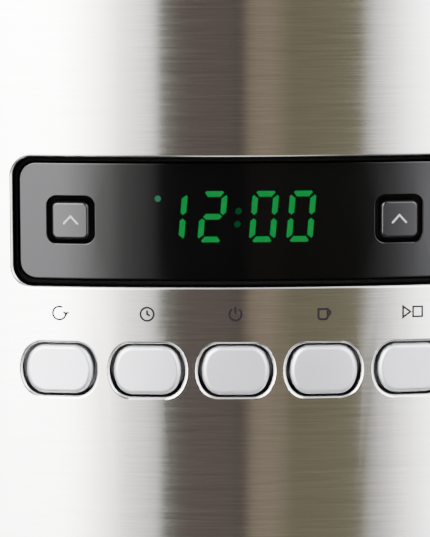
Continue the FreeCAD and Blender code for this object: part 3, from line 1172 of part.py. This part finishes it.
def make_carafe_lid():
    body = new_body("carafe_lid")
    plug = "(neck_radius - vacuum_gap - shell_wall - plug_gap)"
    flat = f"{CARAFE_LID_TOP} - funnel_depth"
    low = f"{LID_FLANGE} - plug_depth"
    turned(body, [("0", low), (plug, low), (plug, LID_FLANGE), ("carafe_lid_radius", LID_FLANGE),
                  ("carafe_lid_radius", f"{CARAFE_LID_TOP} - carafe_lid_bevel"),
                  ("carafe_lid_radius - carafe_lid_bevel", CARAFE_LID_TOP),
                  ("carafe_lid_radius - 2 * carafe_lid_bevel", CARAFE_LID_TOP),
                  ("funnel_radius", flat), ("brew_hole", flat), ("brew_hole", f"{LID_FLANGE} - brew_hole"),
                  ("0", f"{LID_FLANGE} - brew_hole")])
    pocket(body, "XY", f"{low} - past", f"{CARAFE_LID_TOP} + past", [],
           [("0", CARAFE_Y, "brew_hole"), ("0", POUR_Y, "pour_hole")])
    slot = "(lever_half + lever_gap)"
    pocket(body, "XY", f"{LEVER_LOW} - slot_depth", f"{CARAFE_LID_TOP} + past",
           [rectangle(f"-{slot}", slot, f"({CARAFE_Y} - slot_front)", SLOT_REAR)])
    pocket(body, "YZ", f"-({slot} + lever_pin_end)", f"{slot} + lever_pin_end", [],
           [(LEVER_PIVOT_Y, LEVER_PIVOT_Z, "lever_pin")])
    gasket = new_body("lid_gasket")
    gasket_low = f"{LID_FLANGE} - gasket_height"
    turned(gasket, [(plug, gasket_low), ("neck_radius + gasket_reach", gasket_low),
                    ("neck_radius + gasket_reach", LID_FLANGE), (plug, LID_FLANGE)])
    return node(body, "carafe_lid"), node(gasket, "lid_gasket")


def make_lever():
    body = new_body("thumb_lever")
    nose = f"({CARAFE_Y} - lever_nose)"
    tail = f"({SLOT_REAR} - past)"
    top = f"({LEVER_LOW} + lever_height)"
    pad(body, "YZ", "-lever_half", "lever_half",
        [([(nose, f"{LEVER_LOW} + past"), (f"{nose} + lever_height", LEVER_LOW), (tail, LEVER_LOW),
           (tail, f"{LEVER_LOW} + lever_tail"), (LEVER_PIVOT_Y, top), (f"{nose} + 2 * lever_tail", top),
           (nose, f"{top} + lever_nose_rise")], {})])
    pocket(body, "YZ", "-lever_half - past", "lever_half + past", [],
           [(LEVER_PIVOT_Y, LEVER_PIVOT_Z, "lever_pin + pin_play")])
    pin = rod("lever_pin", "x", "-(lever_half + lever_pin_end)", LEVER_PIVOT_Y, LEVER_PIVOT_Z, "lever_pin",
              "2 * (lever_half + lever_pin_end)")
    seal = rod("pour_seal", "z", "0", POUR_Y, f"{LEVER_LOW} - pour_seal_height", "pour_seal_radius",
               "pour_seal_height")
    return node(body, "thumb_lever"), node(pin, "lever_pin"), node(seal, "pour_seal")


MAKERS = [make_base_shell, make_base_plate, make_feet, make_case_screws, make_rest_plate, make_boiler,
          make_boiler_bracket, make_heat_guards, make_check_valve, make_hoses, make_power_parts,
          make_cord_gland, make_tower_shell, make_level_window, make_tank, make_filter, make_riser,
          make_head_shell, make_head_deck, make_chamber, make_basket, make_mesh_filter, make_drip_valve,
          make_steel_panel, make_display_window, make_button_guide, make_buttons, make_electronics,
          make_lid, make_lid_parts, make_carafe_shells, make_collar, make_handle, make_carafe_lid,
          make_lever]
for make in MAKERS:
    make()
doc.recompute()

faults = [f"{thing.Label}: {thing.State}" for thing in doc.Objects
          if "Invalid" in thing.State or "Error" in thing.State]
for piece in NODES:
    shape = piece.Shape
    if shape.isNull() or not shape.isValid() or not shape.Solids:
        faults.append(f"{piece.Label}: no sound solid")
if faults:
    raise RuntimeError("; ".join(faults))

os.makedirs("parts", exist_ok=True)
for piece in NODES:
    piece.Shape.exportStep(f"parts/{piece.Label}.step")
print(f"{len(NODES)} nodes written")
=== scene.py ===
import json
import math

import bpy
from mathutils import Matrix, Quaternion, Vector


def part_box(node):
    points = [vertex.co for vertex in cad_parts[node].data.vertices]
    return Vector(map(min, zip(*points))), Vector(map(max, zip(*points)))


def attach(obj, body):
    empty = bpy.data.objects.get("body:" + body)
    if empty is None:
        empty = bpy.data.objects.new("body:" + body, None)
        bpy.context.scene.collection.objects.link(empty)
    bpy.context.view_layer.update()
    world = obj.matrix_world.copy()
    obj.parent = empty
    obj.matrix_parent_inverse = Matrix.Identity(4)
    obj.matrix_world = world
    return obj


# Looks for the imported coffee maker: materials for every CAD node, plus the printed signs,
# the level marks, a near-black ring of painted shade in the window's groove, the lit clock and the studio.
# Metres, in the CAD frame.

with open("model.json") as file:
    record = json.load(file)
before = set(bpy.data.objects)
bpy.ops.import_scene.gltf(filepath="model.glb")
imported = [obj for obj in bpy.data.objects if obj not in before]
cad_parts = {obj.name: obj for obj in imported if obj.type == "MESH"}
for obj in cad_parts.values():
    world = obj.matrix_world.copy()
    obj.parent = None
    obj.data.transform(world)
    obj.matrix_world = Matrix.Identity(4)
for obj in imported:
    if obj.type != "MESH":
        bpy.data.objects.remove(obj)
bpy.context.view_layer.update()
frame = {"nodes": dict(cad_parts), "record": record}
NODES = frame["nodes"]
MM = 0.001


# ---------------------------------------------------------------- places read from the frame
def corners(name):
    """The low and high corners of a node's box."""
    return [Vector(corner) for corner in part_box(name)]


def middle(name):
    """The middle of a node's box."""
    low, high = corners(name)
    return (low + high) / 2


window_low, window_high = corners("display_window")
FRONT_Y = corners("front_steel_panel")[0].y
FRONT_RADIUS = 240 * MM
ARC_Y = FRONT_Y + FRONT_RADIUS
WINDOW_Z = middle("display_window").z
WINDOW_FLANGE = 4 * MM
WINDOW_CORNER = 5 * MM
PLATEAU_RECESS = 2.6 * MM
KEY_FACE_RECESS = 0.6 * MM
PRINT_LIFT = 0.03 * MM
PRINT_THICKNESS = 0.02 * MM


# ---------------------------------------------------------------- material building
class Tree:
    """A node tree, with short ways to add and link nodes."""

    def __init__(self, owner):
        owner.use_nodes = True
        self.tree = owner.node_tree
        self.tree.nodes.clear()

    def add(self, kind, **values):
        made = self.tree.nodes.new(kind)
        for key, value in values.items():
            setattr(made, key, value)
        return made

    def link(self, source, target):
        self.tree.links.new(source, target)

    def span(self, source, low, high, from_low=0.3, from_high=0.7, **values):
        """The source mapped from its own range to low..high."""
        ranged = self.add("ShaderNodeMapRange", **values)
        for socket, value in zip(("From Min", "From Max", "To Min", "To Max"),
                                 (from_low, from_high, low, high)):
            ranged.inputs[socket].default_value = value
        self.link(source, ranged.inputs["Value"])
        return ranged.outputs[0]

    def maths(self, operation, *sources):
        """A sum on sockets and numbers."""
        made = self.add("ShaderNodeMath", operation=operation)
        for socket, source in zip(made.inputs, sources):
            if isinstance(source, (int, float)):
                socket.default_value = source
            else:
                self.link(source, socket)
        return made.outputs[0]


class Look(Tree):
    """A material's node tree, round one main shader."""

    def __init__(self, name):
        self.material = bpy.data.materials.new(name)
        super().__init__(self.material)
        output = self.add("ShaderNodeOutputMaterial")
        self.shader = self.add("ShaderNodeBsdfPrincipled")
        self.link(self.shader.outputs[0], output.inputs["Surface"])
        self.place = self.add("ShaderNodeTexCoord").outputs["Object"]

    def set(self, **values):
        """Sets the main shader's own values, an underscore for each space in a name."""
        for key, value in values.items():
            self.shader.inputs[key.replace("_", " ")].default_value = value

    def noise(self, scale, stretch=(1, 1, 1), detail=3, roughness=0.5):
        """Noise over the piece, finer along an axis where stretch is more."""
        mapping = self.add("ShaderNodeMapping")
        mapping.inputs["Scale"].default_value = stretch
        self.link(self.place, mapping.inputs["Vector"])
        noise = self.add("ShaderNodeTexNoise")
        noise.inputs["Scale"].default_value = scale
        noise.inputs["Detail"].default_value = detail
        noise.inputs["Roughness"].default_value = roughness
        self.link(mapping.outputs[0], noise.inputs["Vector"])
        return noise.outputs["Fac"]

    def mix(self, factor, dark, light):
        """A colour between two, by a factor that varies over the surface."""
        mixed = self.add("ShaderNodeMix", data_type="RGBA")
        self.link(factor, mixed.inputs[0])
        mixed.inputs[6].default_value = (*dark, 1)
        mixed.inputs[7].default_value = (*light, 1)
        return mixed.outputs[2]

    def bump(self, height, strength, distance):
        """A bump, laid over any that is there already."""
        bump = self.add("ShaderNodeBump")
        bump.inputs["Strength"].default_value = strength
        bump.inputs["Distance"].default_value = distance
        self.link(height, bump.inputs["Height"])
        if self.shader.inputs["Normal"].links:
            self.link(self.shader.inputs["Normal"].links[0].from_socket, bump.inputs["Normal"])
        self.link(bump.outputs[0], self.shader.inputs["Normal"])


def brushed(name, dark, light, roughness=(0.12, 0.16), stretch=(22, 22, 1300), anisotropy=0.98, turn=0.25):
    """Brushed steel with fine lines along the surface's horizontal direction."""
    made = Look(name)
    made.set(Metallic=1.0, Anisotropic=anisotropy, Anisotropic_Rotation=turn)
    tangent = made.add("ShaderNodeTangent", direction_type="RADIAL", axis="Z")
    made.link(tangent.outputs[0], made.shader.inputs["Tangent"])
    lines = made.noise(1.0, stretch, detail=2)
    fine = made.noise(1.0, [value * 3 for value in stretch], detail=3, roughness=0.6)
    made.link(made.mix(made.span(fine, 0, 1, 0.2, 0.8), dark, light), made.shader.inputs["Base Color"])
    made.link(made.span(lines, *roughness), made.shader.inputs["Roughness"])
    made.bump(fine, 0.06, 0.00004)
    made.bump(lines, 0.03, 0.00006)
    return made.material


def moulded(name, dark, light, roughness=(0.38, 0.5), grain=2600, bump=0.12, distance=0.00008, **sockets):
    """Moulded plastic or rubber: a fine grain, a little mottling and a soft sheen."""
    made = Look(name)
    made.set(**sockets)
    grains = made.noise(grain, detail=2)
    cloud = made.noise(22, detail=3)
    made.link(made.mix(made.span(cloud, 0, 1), dark, light), made.shader.inputs["Base Color"])
    made.link(made.span(cloud, *roughness), made.shader.inputs["Roughness"])
    made.bump(grains, bump, distance)
    return made.material


def glowing(name, colour, strength):
    """A lit segment: a diffusing green plastic with its own light, slightly uneven."""
    made = Look(name)
    cloud = made.noise(500, detail=2)
    shades = made.mix(made.span(cloud, 0, 1), [c * 0.9 for c in colour], colour)
    made.set(Roughness=0.5, Emission_Strength=strength, Specular_IOR_Level=0.0)
    made.link(made.mix(made.span(cloud, 0, 1), (0.0, 0.02, 0.008), (0.0, 0.03, 0.01)),
              made.shader.inputs["Base Color"])
    made.link(shades, made.shader.inputs["Emission Color"])
    return made.material


def clear(name, colour, roughness):
    """Clear or frosted plastic."""
    made = Look(name)
    cloud = made.noise(60, detail=2)
    made.link(made.mix(made.span(cloud, 0, 1), [c * 0.96 for c in colour], colour),
              made.shader.inputs["Base Color"])
    made.link(made.span(cloud, roughness, roughness * 1.6), made.shader.inputs["Roughness"])
    made.set(Transmission_Weight=0.9, IOR=1.49)
    return made.material


LOOKS = {
    "steel": brushed("brushed_steel", (0.47, 0.455, 0.43), (0.63, 0.61, 0.58)),
    "black_plastic": moulded("black_grained_plastic", (0.012, 0.012, 0.013), (0.018, 0.018, 0.019),
                             Specular_IOR_Level=0.16),
    "dark_plastic": moulded("dark_satin_plastic", (0.022, 0.022, 0.024), (0.032, 0.032, 0.034), (0.32, 0.44),
                            Specular_IOR_Level=0.16),
    "gloss_black": moulded("gloss_black_plastic", (0.0018, 0.0018, 0.002), (0.003, 0.003, 0.0034),
                           (0.05, 0.10), grain=300, bump=0.02, distance=0.00003, Specular_IOR_Level=0.17),
    "satin_black": moulded("satin_black_plastic", (0.006, 0.006, 0.007), (0.009, 0.009, 0.010),
                           (0.14, 0.2), grain=900, bump=0.03, distance=0.00003, Specular_IOR_Level=0.24),
    "silver_caps": moulded("satin_silver", (0.50, 0.50, 0.53), (0.57, 0.57, 0.60), (0.34, 0.42), grain=4200,
                           bump=0.10, distance=0.00005, Metallic=0.7),
    "rubber_parts": moulded("black_rubber", (0.014, 0.014, 0.014), (0.024, 0.024, 0.024), (0.7, 0.85),
                            Specular_IOR_Level=0.12),
    "bright_steel": moulded("bright_plated_steel", (0.6, 0.6, 0.6), (0.72, 0.72, 0.71), (0.14, 0.26),
                            Metallic=1.0),
    "rest_steel": brushed("spun_steel", (0.42, 0.42, 0.42), (0.56, 0.56, 0.56)),
    "carafe_steel": brushed("carafe_brushed_steel", (0.46, 0.45, 0.44), (0.62, 0.61, 0.6), (0.26, 0.34),
                            (14, 14, 700), 0.75),
    "carafe_plastic": moulded("carafe_black_plastic", (0.012, 0.012, 0.013), (0.02, 0.02, 0.021), (0.3, 0.42),
                              Specular_IOR_Level=0.2),
    "cast_aluminium": moulded("cast_aluminium", (0.5, 0.5, 0.5), (0.66, 0.66, 0.66), (0.4, 0.6), grain=900,
                              bump=0.25, distance=0.0002, Metallic=1.0),
    "element_steel": moulded("dull_plated_metal", (0.3, 0.3, 0.3), (0.42, 0.41, 0.4), (0.35, 0.5),
                             Metallic=1.0),
    "translucent": moulded("smoked_tank_plastic", (0.05, 0.055, 0.06), (0.07, 0.075, 0.08), (0.2, 0.3)),
    "clear_window": clear("clear_acrylic", (0.9, 0.95, 0.97), 0.04),
    "riser_plastic": moulded("natural_plastic", (0.62, 0.62, 0.58), (0.7, 0.7, 0.66), (0.4, 0.5)),
    "circuit_board": moulded("solder_mask", (0.01, 0.11, 0.035), (0.015, 0.15, 0.05), (0.2, 0.32), grain=700),
    "electronics": moulded("component_resin", (0.05, 0.045, 0.02), (0.32, 0.24, 0.05), (0.3, 0.5), grain=200),
    "filter_mesh": brushed("gold_tone_mesh", (0.5, 0.36, 0.12), (0.75, 0.55, 0.22), (0.25, 0.45),
                           (900, 900, 900), 0.0, 0.0),
    "charcoal": moulded("charcoal_sleeve", (0.3, 0.3, 0.29), (0.5, 0.5, 0.48), (0.8, 0.95), grain=1500,
                        bump=0.6, distance=0.0003),
}


def dress(piece, look):
    """Gives a piece one material."""
    piece.data.materials.clear()
    piece.data.materials.append(look)


for row in frame["record"]["subparts"]:
    dress(NODES[row["node"]], LOOKS[row["material_slot"]])


# ---------------------------------------------------------------- prints on the bowed front
def on_front(x, z, recess):
    """A point on the surface that lies recess behind the steel's face."""
    radius = FRONT_RADIUS - recess
    return Vector((x, ARC_Y - math.sqrt(radius * radius - x * x), z))


def arc(centre, radius, start, end, steps=10):
    """Points along an arc, in degrees, anticlockwise from +x."""
    angles = [math.radians(start + (end - start) * step / steps) for step in range(steps + 1)]
    return [(centre[0] + radius * math.cos(angle), centre[1] + radius * math.sin(angle)) for angle in angles]


def disc(x, z, radius):
    """A filled round spot's outline."""
    return [(x + across, z + up) for across, up in arc((0, 0), radius, 0, 360, 20)[:-1]]


# Each sign's strokes, about its middle, in units of a sign's height.
SIGNS = {
    "renew": [arc((0, 0), 0.5, 60, 370, 24), [(0.3, 0.12), (0.5, -0.1), (0.72, 0.1)]],
    "clock": [arc((0, 0), 0.5, 0, 360, 28), [(0, 0.3), (0, 0), (0.22, -0.12)]],
    "power": [arc((0, 0), 0.46, 125, 415, 24), [(0, 0.04), (0, 0.56)]],
    "cup": [[(-0.4, 0.34), (-0.4, -0.2)] + arc((-0.2, -0.24), 0.2, 180, 270, 6)
            + arc((0.1, -0.24), 0.2, 270, 360, 6) + [(0.3, 0.34), (-0.4, 0.34)],
            arc((0.3, 0.06), 0.2, 80, -80, 10)],
    "play": [[(-0.62, -0.42), (-0.62, 0.42), (-0.05, 0), (-0.62, -0.42)],
             [(0.15, -0.38), (0.85, -0.38), (0.85, 0.38), (0.15, 0.38), (0.15, -0.38)]],
    "up": [[(-0.5, -0.25), (0, 0.3), (0.5, -0.25)]],
}


def ribbon(path, half):
    """A flat stroke round a path, as quads with mitred joints and square ends."""
    points = [Vector(point) for point in path]
    closed = (points[0] - points[-1]).length < 1e-6
    if closed:
        points = points[:-1]
    count = len(points)
    sharpest = 0.35
    sides = []
    for index, point in enumerate(points):
        before = points[index - 1] if index or closed else None
        after = points[(index + 1) % count] if index < count - 1 or closed else None
        arriving = (point - before).normalized() if before else (after - point).normalized()
        leaving = (after - point).normalized() if after else arriving
        average = (arriving + leaving).normalized()
        across = Vector((-average.y, average.x))
        reach = half / max(sharpest, average.dot(arriving))
        sides.append((point + across * reach, point - across * reach))
    faces = list(zip(sides, sides[1:] + sides[:1] if closed else sides[1:]))
    return [(one[1], two[1], two[0], one[0]) for one, two in faces]


def add_piece(name, vertices, faces, look, body="machine"):
    """A piece made from its points and faces, riding on a body."""
    mesh = bpy.data.meshes.new(name)
    mesh.from_pydata(vertices, [], faces)
    mesh.update()
    piece = bpy.data.objects.new(name, mesh)
    bpy.context.scene.collection.objects.link(piece)
    dress(piece, look)
    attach(piece, body)
    return piece


def print_piece(name, polygons, place, look, body="machine"):
    """A thin printed shape: flat polygons laid where place puts their points."""
    vertices = []
    faces = []
    for polygon in polygons:
        start = len(vertices)
        vertices.extend(place(across, up) for across, up in polygon)
        faces.append(tuple(range(start, len(vertices))))
    solid = add_piece(name, vertices, faces, look, body).modifiers.new("thickness", "SOLIDIFY")
    solid.thickness = PRINT_THICKNESS
    solid.offset = 0


def sign_polygons(sign, x, z, height, weight):
    """A sign's strokes about a point."""
    polygons = []
    for stroke in SIGNS[sign]:
        polygons.extend(ribbon([(x + across * height, z + up * height) for across, up in stroke], weight / 2))
    return polygons


INK = moulded("label_ink", (0.012, 0.010, 0.013), (0.022, 0.019, 0.023), (0.5, 0.6), Specular_IOR_Level=0.06)
WHITE_INK = moulded("white_ink", (0.8, 0.8, 0.82), (0.9, 0.9, 0.92), (0.4, 0.5))
SIGN_Z = WINDOW_Z - 22.9 * MM
BUTTON_SIGN = (3.3 * MM, 0.5 * MM)  # height and weight
KEY_SIGN = (3.6 * MM, 0.42 * MM)
BUTTON_SIGNS = {"filter_reset": "renew", "program": "clock", "auto_on": "power", "small_batch": "cup",
                "start_stop": "play"}
for button, sign in BUTTON_SIGNS.items():
    print_piece(f"{button}_sign", sign_polygons(sign, middle(f"{button}_button").x, SIGN_Z, *BUTTON_SIGN),
                lambda x, z: on_front(x, z, -PRINT_LIFT), INK)
for key, body in (("hr_key", "hour"), ("min_key", "minute")):
    print_piece(f"{body}_sign", sign_polygons("up", middle(key).x, middle(key).z, *KEY_SIGN),
                lambda x, z: on_front(x, z, KEY_FACE_RECESS - PRINT_LIFT), WHITE_INK, body)


# ---------------------------------------------------------------- level marks beside the sight glass
MARK_COUNT = 11
FIRST_MARK = 0.08  # as a share of the glass's height
MARK_STEP = 0.084
MARK_HALF = 0.3 * MM
LONG_MARK = (0.8 * MM, 6 * MM)  # gap from the glass and length
SHORT_MARK = (0.5 * MM, 3 * MM)


def level_marks():
    """Level lines in the side's plane, every other one short."""
    low, high = corners("level_window")
    marks = []
    for step in range(MARK_COUNT):
        level = low.z + (high.z - low.z) * (FIRST_MARK + MARK_STEP * step)
        gap, length = SHORT_MARK if step % 2 else LONG_MARK
        near = low.y - gap
        marks.append([(near - length, level - MARK_HALF), (near, level - MARK_HALF),
                      (near, level + MARK_HALF), (near - length, level + MARK_HALF)])
    return marks


SIDE_X = corners("tower_shell")[1].x
print_piece("level_marks", level_marks(), lambda y, z: Vector((SIDE_X + PRINT_LIFT, y, z)), WHITE_INK)


# ---------------------------------------------------------------- painted shade: a near-black ring in the window's groove
# Painted shade: a near-black, matte, barely reflective ring stands in for the shadow that falls in the deep
# groove round the window.
GROOVE_SHADE = moulded("painted_groove_shade", (0.003, 0.003, 0.003), (0.006, 0.006, 0.006), (0.8, 0.9),
               Specular_IOR_Level=0.05)
SHADE_RING_PROFILE = [  # inset and recess, in millimetres
    (0.06, 4.6), (0.06, 3.9), (0.3, 3.3), (0.68, 3.1), (1.05, 3.3), (1.29, 3.9), (1.29, 4.6)]
SHADE_RING_STEP = 2 * MM


def window_ring(inset, recess):
    """Points round the window's opening, in from its edge by inset, behind the steel's face by recess."""
    half_x = (window_high.x - window_low.x) / 2 - WINDOW_FLANGE - inset
    half_z = (window_high.z - window_low.z) / 2 - WINDOW_FLANGE - inset
    corner = WINDOW_CORNER - inset / 2
    points = []
    for sx, sz, start in ((1, 1, 0), (-1, 1, 90), (-1, -1, 180), (1, -1, 270)):
        centre = (sx * (half_x - corner), WINDOW_Z + sz * (half_z - corner))
        points.extend(arc(centre, corner, start, start + 90, 12))
    spread = []
    for one, two in zip(points, points[1:] + points[:1]):
        parts = max(1, round(math.dist(one, two) / SHADE_RING_STEP))
        spread.extend((one[0] + (two[0] - one[0]) * step / parts, one[1] + (two[1] - one[1]) * step / parts)
                      for step in range(parts))
    return [on_front(x, z, recess) for x, z in spread]


def make_groove_shade():
    """A near-black matte ring that fills the groove round the window, as painted shade where the groove is in
    shadow.
    """
    rings = [window_ring(inset * MM, recess * MM) for inset, recess in SHADE_RING_PROFILE]
    count = min(len(ring) for ring in rings)
    rings = [[ring[round(index * len(ring) / count) % len(ring)] for index in range(count)] for ring in rings]
    faces = []
    for level in range(len(rings)):
        above = (level + 1) % len(rings)
        for index in range(count):
            after = (index + 1) % count
            faces.append((level * count + index, level * count + after, above * count + after,
                          above * count + index))
    add_piece("painted_groove_shade_ring", [point for ring in rings for point in ring], faces, GROOVE_SHADE)


make_groove_shade()


# ---------------------------------------------------------------- the lit clock
DIGIT_Z = WINDOW_Z + 1.25 * MM
DIGIT_HALF_WIDTH = 3.3 * MM
DIGIT_HALF_HEIGHT = 6.4 * MM
SEGMENT = 1.46 * MM
SLANT = math.tan(math.radians(5))
LIT = {"0": "abcdef", "1": "bc", "2": "abdeg"}
TIME = [("1", -15.5), ("2", -5.6), ("0", 7.2), ("0", 16.5)]  # digits, and their middles in millimetres
COLON_X = 0.75 * MM
COLON_RISES = (1.4 * MM, -1.9 * MM)
COLON_RADIUS = 0.82 * MM
MORNING_X = -19.2 * MM
MORNING_RISE = 4.5 * MM
MORNING_RADIUS = 0.8 * MM


def segment_outlines():
    """The seven segments of an upright digit about its centre, with bevelled ends."""
    w, h, t = DIGIT_HALF_WIDTH, DIGIT_HALF_HEIGHT, SEGMENT
    tip = 0.72 * w
    upright = [(w, 0.17 * h), (w, 0.79 * h), (w - 0.24 * t, 0.845 * h), (w - t, 0.71 * h),
               (w - t, 0.155 * h), (w - 0.55 * t, 0.065 * h)]
    top = [(-0.62 * w, h), (0.62 * w, h), (tip, h - 0.26 * t), (0.47 * w, h - t),
           (-0.47 * w, h - t), (-tip, h - 0.26 * t)]
    middle = [(-tip, 0), (-0.5 * w, t / 2), (0.5 * w, t / 2), (tip, 0),
              (0.5 * w, -t / 2), (-0.5 * w, -t / 2)]

    def flip_x(outline):
        return [(-x, z) for x, z in reversed(outline)]

    def flip_z(outline):
        return [(x, -z) for x, z in reversed(outline)]

    return {"a": top, "b": upright, "c": flip_z(upright), "d": flip_z(top),
            "e": flip_x(flip_z(upright)), "f": flip_x(upright), "g": middle}


SEGMENTS = segment_outlines()
GREEN = glowing("lit_green", (0.003, 0.27, 0.044), 1.0)
DIM_GREEN = glowing("dim_green", (0.003, 0.030, 0.009), 1.0)
PALE_GREEN = glowing("pale_green", (0.035, 0.16, 0.085), 1.0)


def plateau(x, z):
    """A point just in front of the window's raised middle."""
    return on_front(x, z, PLATEAU_RECESS - PRINT_LIFT)


def lean(x, z, centre):
    """A digit's point, slanted and set in its place."""
    return (x + centre + z * SLANT, DIGIT_Z + z)


def make_clock():
    """The lit digits, the colon and the morning dot."""
    for number, (digit, centre) in enumerate(TIME):
        outlines = [[lean(x, z, centre * MM) for x, z in SEGMENTS[letter]] for letter in LIT[digit]]
        print_piece(f"clock_digit_{number}", outlines, plateau, GREEN)
    dots = [[lean(x, z, COLON_X) for x, z in disc(0, rise, COLON_RADIUS)] for rise in COLON_RISES]
    print_piece("clock_colon", dots, plateau, DIM_GREEN)
    morning = disc(MORNING_X, DIGIT_Z + MORNING_RISE, MORNING_RADIUS)
    print_piece("morning_dot", [morning], plateau, PALE_GREEN)


make_clock()


# ---------------------------------------------------------------- studio
# What reflections see round the room: bearing in degrees from straight ahead, colour and brightness.
TONES = [
    (-180, (1, 1, 1), 0.03), (-120, (1, 1, 1), 0.035), (-75, (0.98, 0.98, 1), 0.08),
    (-50, (0.97, 0.98, 1), 0.5), (-31, (0.97, 0.97, 1), 0.95), (-24, (0.98, 0.98, 1), 0.9),
    (-19.5, (1, 0.995, 0.98), 0.46), (-15.5, (1, 0.99, 0.965), 0.17), (-11.3, (1, 0.99, 0.965), 0.09),
    (-10.7, (0.72, 0.74, 0.68), 0.0088), (-7.8, (0.78, 0.76, 0.68), 0.0075),
    (-7.0, (1.0, 0.84, 0.78), 0.0050), (0.6, (1.0, 0.86, 0.80), 0.0044), (1.4, (0.95, 0.84, 0.78), 0.0030),
    (2.6, (1.0, 0.84, 0.66), 0.0100), (6.6, (1.0, 0.86, 0.67), 0.0105), (7.6, (0.97, 0.90, 0.62), 0.0070),
    (19.0, (0.97, 0.92, 0.66), 0.0080), (20.3, (0.98, 0.98, 0.97), 0.055), (22.3, (0.99, 0.98, 0.98), 0.09),
    (25, (0.97, 0.97, 1), 0.2), (29, (0.96, 0.96, 1), 0.45), (50, (0.98, 0.98, 1), 0.3),
    (75, (1, 1, 1), 0.08), (120, (1, 1, 1), 0.035), (180, (1, 1, 1), 0.03),
]
UNLIT = (-10.9, 19.9)  # bearings between which the room is dark, the same at every height
UNLIT_STRENGTH = 37
LIT_STRENGTH = (4, 58)  # below and above
LIT_HEIGHTS = (-0.4, 0.4)  # a ray's upward share at which each holds
STEEP = (0.55, 0.8)  # a ray's upward or downward share where the room gives way to its ceiling
CEILING = (0.05, 0.05, 0.05, 1)
BACKDROP = (0.86, 0.87, 0.88, 1)
BACKDROP_STRENGTH = 0.9
FLOOR_SIZE = 6
AIM = (0, 0, 0.2)
CAMERA_ELEVATION = 6.5
CAMERA_AZIMUTH = -0.15
CAMERA_ROLL = -0.22
CAMERA_DISTANCE = 0.7
SENSOR = 36  # millimetres, as the lens is
LENS = 189.05


def make_ramp(tree, share):
    """The room's tones round the compass; its alpha is 0 where the room is unlit."""
    ramp = tree.add("ShaderNodeValToRGB")
    tree.link(share, ramp.inputs[0])
    elements = ramp.color_ramp.elements
    while len(elements) > 1:
        elements.remove(elements[-1])
    elements[0].position = 0
    for degrees, _, _ in TONES[1:]:
        elements.new((degrees + 180) / 360)
    for element, (degrees, colour, brightness) in zip(elements, TONES):
        lit = 0 if UNLIT[0] < degrees < UNLIT[1] else 1
        element.color = (*[part * brightness for part in colour], lit)
    return ramp


def make_world():
    """Pale to the camera; to reflections, a bright window left, a softer one right, a dark room between."""
    world = bpy.data.worlds.new("studio")
    bpy.context.scene.world = world
    tree = Tree(world)
    ray = tree.add("ShaderNodeSeparateXYZ")
    tree.link(tree.add("ShaderNodeTexCoord").outputs["Generated"], ray.inputs[0])
    bearing = tree.maths("ARCTAN2", ray.outputs["X"], tree.maths("MULTIPLY", ray.outputs["Y"], -1))
    ramp = make_ramp(tree, tree.span(bearing, 0, 1, -math.pi, math.pi))
    steepness = tree.maths("ABSOLUTE", ray.outputs["Z"])
    colour = tree.add("ShaderNodeMix", data_type="RGBA")
    tree.link(tree.span(steepness, 0, 1, *STEEP, interpolation_type="SMOOTHSTEP"), colour.inputs[0])
    tree.link(ramp.outputs["Color"], colour.inputs[6])
    colour.inputs[7].default_value = CEILING
    strength = tree.add("ShaderNodeMix", data_type="FLOAT")
    tree.link(ramp.outputs["Alpha"], strength.inputs[0])
    strength.inputs[2].default_value = UNLIT_STRENGTH
    tree.link(tree.span(ray.outputs["Z"], *LIT_STRENGTH, *LIT_HEIGHTS), strength.inputs[3])
    room = tree.add("ShaderNodeBackground")
    tree.link(strength.outputs[0], room.inputs["Strength"])
    tree.link(colour.outputs[2], room.inputs["Color"])
    backdrop = tree.add("ShaderNodeBackground")
    backdrop.inputs["Color"].default_value = BACKDROP
    backdrop.inputs["Strength"].default_value = BACKDROP_STRENGTH
    choice = tree.add("ShaderNodeMixShader")
    tree.link(tree.add("ShaderNodeLightPath").outputs["Is Glossy Ray"], choice.inputs[0])
    tree.link(backdrop.outputs[0], choice.inputs[1])
    tree.link(room.outputs[0], choice.inputs[2])
    tree.link(choice.outputs[0], tree.add("ShaderNodeOutputWorld").inputs["Surface"])


def make_floor():
    """A wide pale floor that reflections don't see."""
    bpy.ops.mesh.primitive_plane_add(size=FLOOR_SIZE, location=(0, 0, 0))
    floor = bpy.context.object
    floor.name = "floor"
    dress(floor, moulded("pale_floor", (0.74, 0.74, 0.73), (0.78, 0.78, 0.77), (0.6, 0.75), grain=300,
                         bump=0.02))
    floor.visible_glossy = False


def make_light(name, place, size, power):
    """A soft rectangular light, aimed at the machine's middle."""
    data = bpy.data.lights.new(name, "AREA")
    data.shape = "RECTANGLE"
    data.size, data.size_y = size
    data.energy = power
    light = bpy.data.objects.new(name, data)
    light.location = place
    light.rotation_mode = "QUATERNION"
    light.rotation_quaternion = (Vector(AIM) - Vector(place)).to_track_quat("-Z", "Y")
    light.visible_glossy = False
    light.visible_camera = False
    bpy.context.scene.collection.objects.link(light)


def make_camera():
    """Looks at the control panel from a little above, square on, with a long lens."""
    elevation = math.radians(CAMERA_ELEVATION)
    azimuth = math.radians(CAMERA_AZIMUTH)
    target = Vector((-5.04 * MM, FRONT_Y, WINDOW_Z - 11.4 * MM))
    back = Vector((math.sin(azimuth) * math.cos(elevation), -math.cos(azimuth) * math.cos(elevation),
                   math.sin(elevation)))
    data = bpy.data.cameras.new("camera")
    data.sensor_width = SENSOR
    data.lens = LENS
    camera = bpy.data.objects.new("camera", data)
    camera.location = target + back * CAMERA_DISTANCE
    camera.rotation_mode = "QUATERNION"
    facing = (-back).to_track_quat("-Z", "Y")
    camera.rotation_quaternion = facing @ Quaternion((0, 0, 1), math.radians(CAMERA_ROLL))
    bpy.context.scene.collection.objects.link(camera)
    bpy.context.scene.camera = camera


make_world()
make_floor()
make_light("key", (-0.9, -0.7, 1.3), (0.9, 0.9), 14)
make_light("fill", (1.1, -0.5, 1.0), (0.9, 0.9), 7)
make_light("back", (0.2, 1.1, 1.2), (0.9, 0.7), 8)
make_camera()
